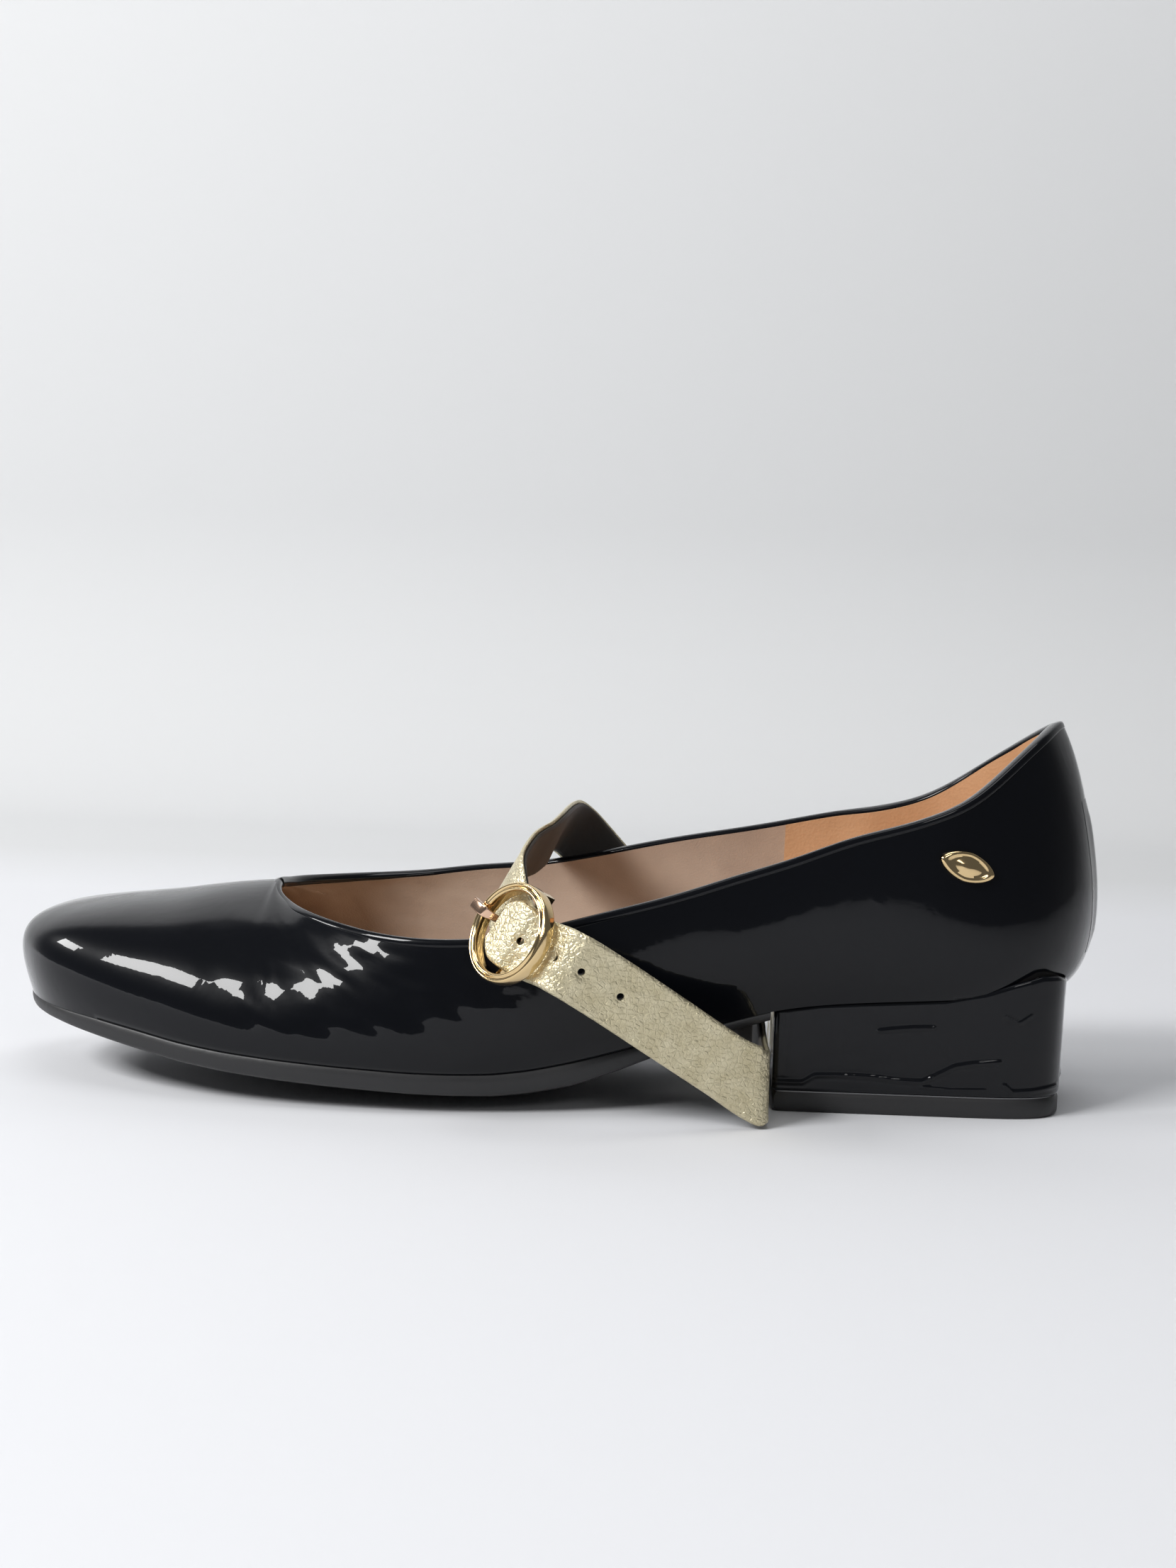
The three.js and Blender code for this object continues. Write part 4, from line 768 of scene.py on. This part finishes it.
def seg_d(px, pz, pts):
    best = np.full(np.shape(px), 1e9)
    for (x0, z0), (x1, z1) in zip(pts[:-1], pts[1:]):
        dx, dz = x1 - x0, z1 - z0
        t = np.clip(((px - x0) * dx + (pz - z0) * dz) / (dx * dx + dz * dz), 0, 1)
        best = np.minimum(best, np.hypot(px - x0 - t * dx, pz - z0 - t * dz))
    return best


z0_ = TOP_PIECE_T + 0.3
tv = np.linspace(0, 1, 64)
rows_ = []
base = heel_ring(0, 0.9, ths)
for t in tv:
    zt = rim_z(base[:, 0])
    z = z0_ + (zt - z0_) * t
    q = np.array([heel_ring(0, zz / 30, [ths[i]])[0] for i, zz in enumerate(z)]) if t in (0.0,) else None
    xy = np.array(heel_ring(0, float(z.mean()) / 30, ths))
    rows_.append(np.column_stack([xy, z]))
R_ = np.array(rows_)                              # (row, ring, 3)
tg = np.roll(R_, -1, 1) - np.roll(R_, 1, 1)
rn = unit(np.stack([tg[..., 1], -tg[..., 0]], -1))
if rn[30, 40, 1] > 0:
    rn = -rn
disp = np.zeros(R_.shape[:2])
kinds = np.array([{"c0": 3, "l": 0, "s": 1, "m": 2, "c1": 3, "b": 4}[k_] for k_, _ in ths])
X_, Y_, Z_ = R_[..., 0], R_[..., 1], R_[..., 2]
latm = (rn[..., 1] < -0.5)
medm = (rn[..., 1] > 0.5)
bakm = (rn[..., 0] > 0.6)
for grp, mask, A_ in ((CR_L, latm, X_), (CR_M, medm, X_), (CR_B, bakm, Y_)):
    for pts, h_, w_ in grp:
        d_ = seg_d(A_, Z_, pts)
        disp += np.where(mask, h_ * np.exp(-(d_ / w_) ** 2) - 0.35 * h_ * np.exp(-((d_ - 1.3 * w_) / (0.9 * w_)) ** 2), 0)
for i in range(disp.shape[0]):
    for j in range(disp.shape[1]):
        x, y, z = R_[i, j]
        disp[i, j] += 0.16 * nz(x, y, z, 0.07, 2.0) + 0.05 * nz(x, y, z * 1.6, 0.2, 9.0)
fade = smooth(tv, 0.0, 0.04) * (1 - 0.6 * smooth(tv, 0.97, 1))
roll_ = -0.45 * (1 - smooth(tv, 0, 0.03)) - 0.5 * smooth(tv, 0.955, 1) ** 2
R_[..., :2] += rn * ((disp - 0.12) * fade[:, None] + roll_[:, None])[..., None]
inner = []
for dz, ins in ((0.05, 1.2), (0.1, 3.2)):
    q = heel_ring(ins, 1.0, ths)
    inner.append(np.column_stack([q, np.minimum(rim_z(q[:, 0]) - 0.1, zsb(q[:, 0], q[:, 1]) + 0.5)]))
bottom = []
for ins in (1.6, 4.0):
    q = heel_ring(ins, 0.17, ths)
    bottom.append(np.column_stack([q, np.full(len(q), z0_)]))
stack = np.array(bottom[::-1] + list(R_) + inner)
ns = len(stack)
faces = []
for i in range(ns - 1):
    for j in range(NRG):
        k_ = (j + 1) % NRG
        faces.append([i * NRG + j, i * NRG + k_, (i + 1) * NRG + k_, (i + 1) * NRG + j])
make("patent_heel_cover", stack.reshape(-1, 3), faces, "patent_heel", replaces=["heel_cover"], slot="patent_leather")

# top piece: block with softened edges and a thin pale line where it meets the cover
def ring_block(name, levels, material, replaces=(), slot=None, sharp=40):
    vs, fs = [], []
    th2 = ths[::3]
    for ins, z, tz in levels:
        q = heel_ring(ins, tz, th2)
        vs.append(np.column_stack([q, np.full(len(q), z)]))
    vs = np.array(vs)
    m_ = vs.shape[1]
    for i in range(len(levels) - 1):
        for j in range(m_):
            k_ = (j + 1) % m_
            fs.append([i * m_ + j, i * m_ + k_, (i + 1) * m_ + k_, (i + 1) * m_ + j])
    fs.append(list(reversed(range(m_))))
    fs.append([(len(levels) - 1) * m_ + j for j in range(m_)])
    return make(name, vs.reshape(-1, 3), fs, material, replaces=replaces, slot=slot, sharp=sharp)


ring_block("rubber_top_piece", [(0.9, 0.0, 0), (0.45, 0.12, 0), (0.2, 0.45, 0.01), (0.15, 1.0, 0.03), (0.2, 3.6, 0.12), (0.45, 4.1, 0.14), (0.6, 4.55, 0.15)], "rubber", ["top_piece"], "sole_rubber")
ring_block("heel_joint_line", [(0.75, 4.56, 0.15), (0.75, 4.88, 0.16)], "weltline")

# ------------------------------------------------------------------ badge: a plain pointed oval
bx, bz = 93.2, 58.0
best = None
for q, i, j in SH.F:
    if j < RBR + 2 or kcol(i) < 22 * MS:
        continue
    c_ = SH.V[q].mean(0)
    if c_[1] > 0:
        continue
    d_ = math.hypot(c_[0] - bx, c_[2] - bz)
    if best is None or d_ < best[0]:
        best = (d_, q)
q = best[1]
bn = unit(SH.N[q].mean(0))
p0 = SH.V[q].mean(0)
byy = p0[1] - (bn[0] * (bx - p0[0]) + bn[2] * (bz - p0[2])) / bn[1]
bc = np.array([bx, byy, bz])
ux = unit(np.array([math.cos(0.3), 0, -math.sin(0.3)]))
bu = unit(ux - bn * ux.dot(bn))
bw = np.cross(bn, bu)
verts, faces = [], []
NB = 96
prof = [(1.0, 0.35), (1.02, 0.7), (1.0, 1.0), (0.93, 1.22), (0.84, 1.3), (0.76, 1.22), (0.70, 1.05), (0.5, 1.2), (0.28, 1.45), (0.12, 1.56)]
for sc, o_ in prof:
    for i in range(NB):
        t = 2 * math.pi * i / NB
        c, s = math.cos(t), math.sin(t)
        a = 6.4 * math.copysign(abs(c) ** 1.2, c) * sc
        e = 3.3 * math.copysign(abs(s) ** 1.2, s) * sc
        verts.append(bc + bu * a + bw * e + bn * o_)
for r_ in range(len(prof) - 1):
    for i in range(NB):
        k_ = (i + 1) % NB
        faces.append([r_ * NB + i, r_ * NB + k_, (r_ + 1) * NB + k_, (r_ + 1) * NB + i])
faces.append([(len(prof) - 1) * NB + i for i in range(NB)])
faces.append([i for i in reversed(range(NB))])
make("side_badge", verts, faces, "gold", replaces=["badge"], slot="gold_metal", sharp=50)

# ------------------------------------------------------------------ strap
RC = np.array([-6.95, -48, 42.93])
RN = unit(np.array([-0.6216, -0.6817, 0.386]))
RT = np.array([-0.58, 0.73, 0.36])
RT = unit(RT - RN * RT.dot(RN))
RB = np.cross(RN, RT)
if RB[2] < 0:
    RB = -RB


def ringP(t, n, b=0.0):
    return RC + RT * t + RN * n + RB * b


def Wv(v, l=7.5):
    return unit(np.array(v, float)) * l


TAIL = [[5.4, -0.4, 4.9], [3.8, -0.3, 6.5], [1.9, -0.25, 7.4], [0, -0.3], [-1.5, -0.8], [-3.2, -2.2, 0, 0.05], [-4.6, -2.95, 0, 0.2], [-5.7, -3.2, 0, 0.4]]
MAIN = [
    (ringP(-6.25, -3.3, 0.5), Wv(RB)), (ringP(-9, -3.6, 1.3), Wv(RB)), (ringP(-12, -3.9, 2.2), Wv(RB)), ([5.9, -55.1, 38.05], Wv([0.531, 0.02, 0.847])),
    ([8.6, -54.9, 36.6], Wv([0.531, 0.04, 0.847])), ([16.68, -52, 31.16], Wv([0.531, 0.04, 0.847])),
    ([29.5, -48, 22.24], Wv([0.531, 0.02, 0.847])), ([40.36, -44.5, 14.67], Wv([0.531, 0.0, 0.847])),
    ([45.4, -42.7, 11.4], [2.9, 0, 7.6]), ([48.0, -41.9, 9.5], [0.5, 0, 8.5]), ([49.3, -40.6, 9.3], [0, 0, 8.4]),
    ([49.4, -38.2, 9.4], [0, 0, 8.0]), ([49.1, -30, 10.0], [0, 0, 7.5]), ([49.0, -10, 10.4], [0, 0, 7.5]), ([49.0, 10, 10.4], [0, 0, 7.5]),
    ([49.1, 30, 10.0], [0, 0, 7.5]), ([49.4, 37.5, 9.6], [0, 0, 7.9]), ([49.3, 40.0, 9.7], [0, 0, 8.3]), ([48.0, 41.4, 10.2], [0.8, 0, 8.4]),
    ([44.6, 42.2, 13.2], [4.2, 0, 6.9]), ([34, 43.4, 22.6], Wv([0.666, 0, 0.745])), ([20, 44.2, 35], Wv([0.666, 0, 0.745])),
    ([9.3, 43.4, 46.4], Wv([0.64, 0.05, 0.76])), ([3.0, 40.9, 53.8], Wv([0.60, 0.10, 0.79])), ([0.0, 36.2, 56.9], Wv([0.52, 0.05, 0.85])),
    ([-1.0, 25, 57.9], Wv([0.50, -0.02, 0.865])), ([-1.0, 10, 58.2], Wv([0.42, -0.10, 0.90])), ([-1.2, -3, 58.3], Wv([0.37, -0.25, 0.89])),
    ([-3.1, -11.6, 57.1], Wv([0.38, -0.31, 0.87])), ([-6.3, -19.5, 55.9], Wv([0.42, -0.34, 0.84])), ([-8.8, -31.0, 52.7], Wv([0.48, -0.28, 0.83])),
    ([-8.4, -37.6, 48.6], Wv([0.52, -0.13, 0.84])), (ringP(5.6, -4.5, 0.6), Wv(RB)),
    (ringP(4.2, -4.35, 0.3), Wv(RB)),
]
stn = [np.concatenate([ringP(q[0], q[1], q[3] if len(q) > 3 else 0.0), Wv(RB, q[2] if len(q) > 2 and q[2] else 7.5)]) for q in TAIL] + [np.concatenate([np.array(a, float), np.array(b_, float)]) for a, b_ in MAIN]
f2 = cat(np.array(stn), 2)


def strip_normals(Sx):
    a = np.vstack([Sx[:1, :3], Sx[:-1, :3]])
    b_ = np.vstack([Sx[1:, :3], Sx[-1:, :3]])
    return unit(np.cross(b_ - a, Sx[:, 3:]))


N2 = strip_normals(f2)
c2 = f2.copy()
c2[:, :3] += 0.5 * N2
wrap = [(2.7, -3.3, 0.2), (1.25, -2.35, 0)] + [(2.0 * math.cos(math.pi / 2 + math.pi * i / 6), -4.0 + 2.0 * math.sin(math.pi / 2 + math.pi * i / 6), 0) for i in range(7)] + [(1.8, -6.03, 0), (4.6, -6.0, 0)]
full = np.vstack([c2] + [np.concatenate([ringP(a, b_, c), Wv(RB)])[None] for a, b_, c in wrap])
FS = cat(full, 5)
FN = strip_normals(FS)
for _ in range(2):
    FN[1:-1] = unit(FN[:-2] + 2 * FN[1:-1] + FN[2:])
SPLIT = (len(TAIL) + 2) * 2 * 5                  # the station at t = -12, outside the ring
LIN_END = (len(f2) - 2) * 5
NV = 33
vv = np.linspace(1, -1, NV)
HOLES = []
tailS = cat(np.array(stn[:len(TAIL)]), 2)
tailN = strip_normals(tailS)
HOLES.append((tailS[9, :3] + 0.5 * tailN[9], tailN[9]))
ms, mn = c2[len(TAIL) * 2:], N2[len(TAIL) * 2:]
for hx in (3.2, 9.0, 17.4):
    for i in range(1, len(ms)):
        if ms[i, 0] >= hx and ms[i - 1, 0] < hx:
            f = (hx - ms[i - 1, 0]) / (ms[i, 0] - ms[i - 1, 0])
            HOLES.append((ms[i - 1, :3] + (ms[i, :3] - ms[i - 1, :3]) * f, unit(mn[i] + mn[i - 1])))
            break


def strip(i0, i1, o_lo, o_hi, shrink, crown=0.0, pucker=True, cap0=True, cap1=True, rnd=0.38, bead=0.0, waves=0.0):
    vs, fs = [], []
    half = (o_hi - o_lo) / 2
    mid = (o_hi + o_lo) / 2
    for i in range(i0, i1):
        p_, w_ = FS[i, :3], FS[i, 3:]
        l = np.linalg.norm(w_)
        wu = w_ / l
        l = l - shrink
        n_ = FN[i]
        ring = []
        for side in (1, -1):
            for v in (vv if side > 0 else vv[::-1]):
                d_edge = l * (1 - abs(v))
                e = half if d_edge >= half else math.sqrt(max(0.0, half ** 2 - (half - d_edge) ** 2))
                off = mid + side * e
                pos = p_ + wu * (l * v) + n_ * off
                ex = 0.0
                if side > 0:
                    ex += crown * (1 - v * v) + bead * math.exp(-((d_edge - 0.9) / 0.5) ** 2)
                if waves:
                    ex += waves * nz(pos[0], pos[1], pos[2], 0.11, 4.0)
                if pucker:
                    for hc, hn in HOLES:
                        dd = pos - hc
                        if abs(dd.dot(hn)) < 3:
                            rr = np.linalg.norm(dd - hn * dd.dot(hn))
                            if rr < 5:
                                th_ = math.atan2(dd.dot(np.cross(hn, wu)), dd.dot(wu))
                                ex += -0.45 * math.exp(-(rr / 1.35) ** 2) + 0.13 * math.exp(-((rr - 2.3) / 0.8) ** 2) * (1 + 0.7 * math.cos(3 * th_ + hc[0]))
                ring.append(pos + n_ * ex)
        vs.append(ring)
    vs = np.array(vs)
    n, m_ = vs.shape[:2]
    for i in range(n - 1):
        for j in range(m_):
            k_ = (j + 1) % m_
            fs.append([i * m_ + j, (i + 1) * m_ + j, (i + 1) * m_ + k_, i * m_ + k_])
    if cap0:
        for j in range(NV - 1):
            fs.append([j, j + 1, m_ - 2 - j, m_ - 1 - j])
    if cap1:
        o = (n - 1) * m_
        for j in range(NV - 1):
            fs.append([o + j + 1, o + j, o + m_ - 1 - j, o + m_ - 2 - j])
    return vs.reshape(-1, 3), fs


def cut_holes(ob, holes, r=0.85, depth=6.0, box=None):
    bm = bmesh.new()
    for hc, hn in holes:
        mt = Matrix.Translation(Vector(W(hc)[0])) @ Vector((0, 0, 1)).rotation_difference(Vector(hn)).to_matrix().to_4x4()
        bmesh.ops.create_cone(bm, cap_ends=True, segments=24, radius1=r / 1000, radius2=r / 1000, depth=depth / 1000, matrix=mt)
    if box is not None:
        t0, t1, n0, n1, hb = box
        cs = [W(ringP(t, n, b_))[0] for b_ in (-hb, hb) for t, n in ((t0, n0), (t1, n0), (t1, n1), (t0, n1))]
        bv = [bm.verts.new(Vector(c_)) for c_ in cs]
        for q in ((0, 3, 2, 1), (4, 5, 6, 7), (0, 1, 5, 4), (1, 2, 6, 5), (2, 3, 7, 6), (3, 0, 4, 7)):
            bm.faces.new([bv[a_] for a_ in q])
    bmesh.ops.recalc_face_normals(bm, faces=bm.faces)
    me = bpy.data.meshes.new("cutter")
    bm.to_mesh(me)
    bm.free()
    cu = bpy.data.objects.new("cutter", me)
    bpy.context.scene.collection.objects.link(cu)
    md = ob.modifiers.new("cut", "BOOLEAN")
    md.operation, md.solver, md.object = "DIFFERENCE", "EXACT", cu
    dg = bpy.context.evaluated_depsgraph_get()
    nm = bpy.data.meshes.new_from_object(ob.evaluated_get(dg))
    old = ob.data
    ob.modifiers.clear()
    ob.data = nm
    bpy.data.objects.remove(cu)
    for p_ in nm.polygons:
        p_.use_smooth = True
    bm = bmesh.new()
    bm.from_mesh(nm)
    for e_ in bm.edges:
        if len(e_.link_faces) == 2 and e_.calc_face_angle(0) > math.radians(50):
            e_.smooth = False
    bm.to_mesh(nm)
    bm.free()


tail = make("strap_tip_leather", *strip(0, SPLIT + 1, -0.4, 0.42, 0.0, cap1=True, bead=0.09), "strap_gold", ride=False, replaces=["strap_tail"], slot="gold_leather", sharp=60)
cut_holes(tail, HOLES[:1])
# the tip's backing carries the near-black painted shade colour
tailb = make("strap_tip_backing_painted_shade", *strip(0, SPLIT + 1, -1.38, -0.42, 0.3, pucker=False, cap1=True), "strap_back", ride=False, replaces=["strap_tail_lining"], slot="strap_lining_leather", sharp=60)
cut_holes(tailb, HOLES[:1])
for ob in (tail, tailb):
    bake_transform(ob)
mainp = make("strap_leather", *strip(SPLIT, len(FS), -0.4, 0.42, 0.0, waves=0.10, bead=0.09), "strap_gold", replaces=["strap_outer"], slot="gold_leather", sharp=60)
cut_holes(mainp, HOLES[1:], box=(-1.4, 3.7, -3.8, 3, 1.3))
# the main backing carries the near-black painted shade colour
mainb = make("strap_backing_painted_shade", *strip(SPLIT, LIN_END, -1.4, -0.42, 0.35, pucker=False, waves=0.10), "strap_back", replaces=["strap_lining"], slot="strap_lining_leather", sharp=60)
cut_holes(mainb, HOLES[1:])

# ------------------------------------------------------------------ buckle
RR, RI, RHt, BAR_R, BAR_N = 11.45, 9.3, 1.75, 0.9, -4.0
XR = -RB


def ring_pt(r, h, a):
    return RC + RT * (r * math.cos(a)) + XR * (r * math.sin(a)) + RN * h


prof = [(RI + 0.02, -1.2), (RI + 0.12, -1.55), (RI + 0.4, -1.72), (RI + 0.9, -1.75), (RR - 0.75, -1.75), (RR - 0.35, -1.66), (RR - 0.08, -1.4), (RR, -1.05),
        (RR, 0.55), (RR - 0.05, 0.95), (RR - 0.18, 1.28), (RR - 0.38, 1.48), (RR - 0.6, 1.5), (RR - 0.82, 1.38), (RR - 0.98, 1.24),
        (RR - 1.12, 1.3), (RR - 1.26, 1.52), (RR - 1.42, 1.7), (RR - 1.62, 1.74), (RR - 1.84, 1.62), (RR - 2.02, 1.35), (RI + 0.02, 0.95), (RI, 0.4), (RI, -0.6)]
NS = 180
verts, faces = [], []
for i in range(NS):
    a = 2 * math.pi * i / NS
    for r_, h_ in prof:
        verts.append(ring_pt(r_, h_, a))
m_ = len(prof)
for i in range(NS):
    for j in range(m_):
        k_, l_ = (j + 1) % m_, (i + 1) % NS
        faces.append([i * m_ + j, i * m_ + k_, l_ * m_ + k_, l_ * m_ + j])


def tube(p0, p1, r, n=28):
    ax = unit(p1 - p0)
    a1 = unit(np.cross(ax, [0.3, 0.5, 0.8]))
    a2 = np.cross(ax, a1)
    vs = []
    for p_, rr in ((p0, r - 0.15), (p0 + ax * 0.15, r), (p1 - ax * 0.15, r), (p1, r - 0.15)):
        for i in range(n):
            t = 2 * math.pi * i / n
            vs.append(p_ + a1 * rr * math.cos(t) + a2 * rr * math.sin(t))
    fs = []
    for k_ in range(3):
        for i in range(n):
            j = (i + 1) % n
            fs.append([k_ * n + i, k_ * n + j, (k_ + 1) * n + j, (k_ + 1) * n + i])
    fs.append(list(reversed(range(n))))
    fs.append([3 * n + i for i in range(n)])
    return vs, fs


def add_part(vs, fs):
    o = len(verts)
    verts.extend(vs)
    faces.extend([[v_ + o for v_ in f_] for f_ in fs])


add_part(*tube(ringP(0, BAR_N, -10.7), ringP(0, BAR_N, 10.7), BAR_R))
for s in (-1, 1):
    vs = []
    for b_ in (-0.8, 0.8):
        for t, n in ((-1.0, -2.3), (1.0, -2.3), (1.0, 2.3), (-1.0, 2.3)):
            vs.append(ringP(t, BAR_N + 1.7 + n, s * 10.4 + b_))
    add_part(vs, [[0, 3, 2, 1], [4, 5, 6, 7], [0, 1, 5, 4], [1, 2, 6, 5], [2, 3, 7, 6], [3, 0, 4, 7]])
make("buckle_ring", verts, faces, "gold", body="buckle", replaces=["buckle_frame"], slot="gold_metal", sharp=45)

# prong: sleeve on the bar and a flat bent bar over the ring's far rim
pp = cat(np.array([[0, BAR_N + 1.25], [2.4, -2.6], [5.5, -2.5], [6.9, -1.1], [8.0, 1.4], [9.2, 2.5], [12.6, 2.45]], float), 6)
verts, faces = [], []
cs = []
hh, ww, rr = 0.55, 0.75, 0.2
for sx, sy in ((1, 1), (-1, 1), (-1, -1), (1, -1)):
    for q in range(4):
        a0 = {(1, 1): 0, (-1, 1): 90, (-1, -1): 180, (1, -1): 270}[(sx, sy)]
        a = math.radians(a0 + q * 30)
        cs.append((sx * (ww - rr) + rr * math.cos(a), sy * (hh - rr) + rr * math.sin(a)))
for i, (t, n) in enumerate(pp):
    a, b_ = pp[max(0, i - 1)], pp[min(len(pp) - 1, i + 1)]
    d_ = unit(b_ - a)
    nn = np.array([-d_[1], d_[0]])
    grow = 1.0 + 0.6 * float(smooth(t, 6.6, 9.0))
    for bw_, hw_ in cs:
        verts.append(ringP(t + nn[0] * hw_, n + nn[1] * hw_, bw_ * grow))
m_ = len(cs)
for i in range(len(pp) - 1):
    for j in range(m_):
        k_ = (j + 1) % m_
        faces.append([i * m_ + j, i * m_ + k_, (i + 1) * m_ + k_, (i + 1) * m_ + j])
faces.append(list(reversed(range(m_))))
faces.append([(len(pp) - 1) * m_ + j for j in range(m_)])
o = len(verts)
nt_ = 40
for b_ in (-0.75, 0.75):
    for r_ in (1.48, 1.02):
        for i in range(nt_):
            a = 2 * math.pi * i / nt_
            verts.append(ringP(r_ * math.cos(a), BAR_N + r_ * math.sin(a), b_))
for i in range(nt_):
    j = (i + 1) % nt_
    a0, a1, b0, b1 = o + i, o + nt_ + i, o + 2 * nt_ + i, o + 3 * nt_ + i
    c0, c1, d0, d1 = o + j, o + nt_ + j, o + 2 * nt_ + j, o + 3 * nt_ + j
    faces += [[a0, c0, d0, b0], [a1, b1, d1, c1], [a0, a1, c1, c0], [b0, d0, d1, b1]]
make("buckle_tongue", verts, faces, "rose", body="prong", replaces=["buckle_prong"], slot="gold_metal", sharp=40)

# ------------------------------------------------------------------ CAD pieces that stay
for node, mt in {"bottom_filler": "foam", "shank": "steel", "insole_board": "board", "heel_pad": "foam", "heel_block": "block",
                 "top_piece_pin_1": "steel", "top_piece_pin_2": "steel", "heel_screw": "steel",
                 "heel_nail_1": "steel", "heel_nail_2": "steel", "heel_nail_3": "steel", "heel_nail_4": "steel"}.items():
    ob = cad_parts[node]
    ob.data.materials.clear()
    ob.data.materials.append(M[mt])

# ------------------------------------------------------------------ floor and backdrop: one sweep
def stage_mat(name, c, r):
    mm, nt_, b_ = new_mat(name, c, r, spec=0.25)
    return mm


SW_Y, SW_R = 500.0, 150.0
prof = [(-2400.0, 0.0), (SW_Y, 0.0)]
for i in range(1, 25):
    a = math.pi / 2 * i / 24
    prof.append((SW_Y + SW_R * math.sin(a), SW_R * (1 - math.cos(a))))
prof.append((SW_Y + SW_R, 3000.0))
verts, faces = [], []
for x in (-2600, 2600):
    for y, z in prof:
        verts.append([x, y, z - 0.02 if z == 0 else z])
m_ = len(prof)
for j in range(m_ - 1):
    faces.append([j, m_ + j, m_ + j + 1, j + 1])
me = bpy.data.meshes.new("studio_sweep")
me.from_pydata(W(verts).tolist(), [], faces)
for p_ in me.polygons:
    p_.use_smooth = True
fl = bpy.data.objects.new("studio_sweep", me)
bpy.context.scene.collection.objects.link(fl)
sm, nt, b = new_mat("sweep_pale", (0.80, 0.805, 0.82), 0.9, spec=0.1)
g = nt.nodes.new("ShaderNodeSeparateXYZ")
nt.links.new(coords(nt), g.inputs["Vector"])
mr = nt.nodes.new("ShaderNodeMapRange")
mr.inputs["From Min"].default_value = 0.29
mr.inputs["From Max"].default_value = 0.40
nt.links.new(g.outputs["Y"], mr.inputs["Value"])
nt.links.new(ramp(nt, mr.outputs["Result"], [(0.0, (0.70, 0.705, 0.725)), (1.0, (0.63, 0.635, 0.64))]), b.inputs["Base Color"])
me.materials.append(sm)

# ------------------------------------------------------------------ camera
yaw, pitch, roll = math.radians(-3), math.radians(5.5), math.radians(1.4)
fwd = np.array([math.sin(yaw) * math.cos(pitch), math.cos(yaw) * math.cos(pitch), -math.sin(pitch)])
r0 = np.array([math.cos(yaw), -math.sin(yaw), 0.0])
u0 = np.cross(r0, fwd)
right = r0 * math.cos(roll) + u0 * math.sin(roll)
upv = -r0 * math.sin(roll) + u0 * math.cos(roll)
cam_d = bpy.data.cameras.new("view")
cam_d.sensor_width = 36
cam_d.sensor_fit = "AUTO"
cam_d.lens = 3069 / 2212 * 36
cam_d.clip_start = 0.01
cam_d.clip_end = 50
cam = bpy.data.objects.new("view", cam_d)
bpy.context.scene.collection.objects.link(cam)
mt = Matrix(((right[0], upv[0], -fwd[0]), (right[1], upv[1], -fwd[1]), (right[2], upv[2], -fwd[2]))).to_4x4()
mt.translation = Vector(W([33.5, -514, 121])[0])
cam.matrix_world = mt
bpy.context.scene.camera = cam


# ------------------------------------------------------------------ light
def area(name, loc, target, sx, sy, radiance, color=(1, 1, 1), spread=180):
    """A rectangular light whose face has this radiance; loc and target in mm."""
    ld = bpy.data.lights.new(name, "AREA")
    ld.shape = "RECTANGLE"
    ld.size, ld.size_y = sx / 1000, sy / 1000
    ld.energy = radiance * math.pi * ld.size * ld.size_y
    ld.color = color
    ld.spread = math.radians(spread)
    ob = bpy.data.objects.new(name, ld)
    bpy.context.scene.collection.objects.link(ob)
    p_ = Vector(W(loc)[0])
    ob.location = p_
    d_ = Vector(W(target)[0]) - p_
    ob.rotation_euler = d_.to_track_quat("-Z", "Y").to_euler()
    return ob


area("window_left", (-840, -740, 900), (-40, 0, 20), 560, 360, 26, (1.0, 1.0, 1.0))
area("window_side", (-1220, -120, 800), (-60, 0, 20), 420, 240, 22, (1.0, 1.0, 1.0))
area("sky_top", (120, -120, 1500), (0, 0, 0), 900, 520, 3.2, (0.98, 0.99, 1.0))
area("wall_wash", (0, 100, 1500), (0, 650, 1000), 1800, 300, 1.9, (1.0, 1.0, 1.0), 95)
area("front_fill", (500, -1350, 900), (0, 0, 40), 420, 300, 4.0, (1.0, 0.99, 0.97))
wl = bpy.data.worlds.new("room")
bpy.context.scene.world = wl
wl.use_nodes = True
bg = wl.node_tree.nodes["Background"]
bg.inputs["Color"].default_value = (0.93, 0.955, 1.0, 1)
bg.inputs["Strength"].default_value = 0.12
bpy.context.scene.view_settings.view_transform = "Standard"
bpy.context.scene.view_settings.look = "None"
bpy.context.scene.view_settings.exposure = 0.0
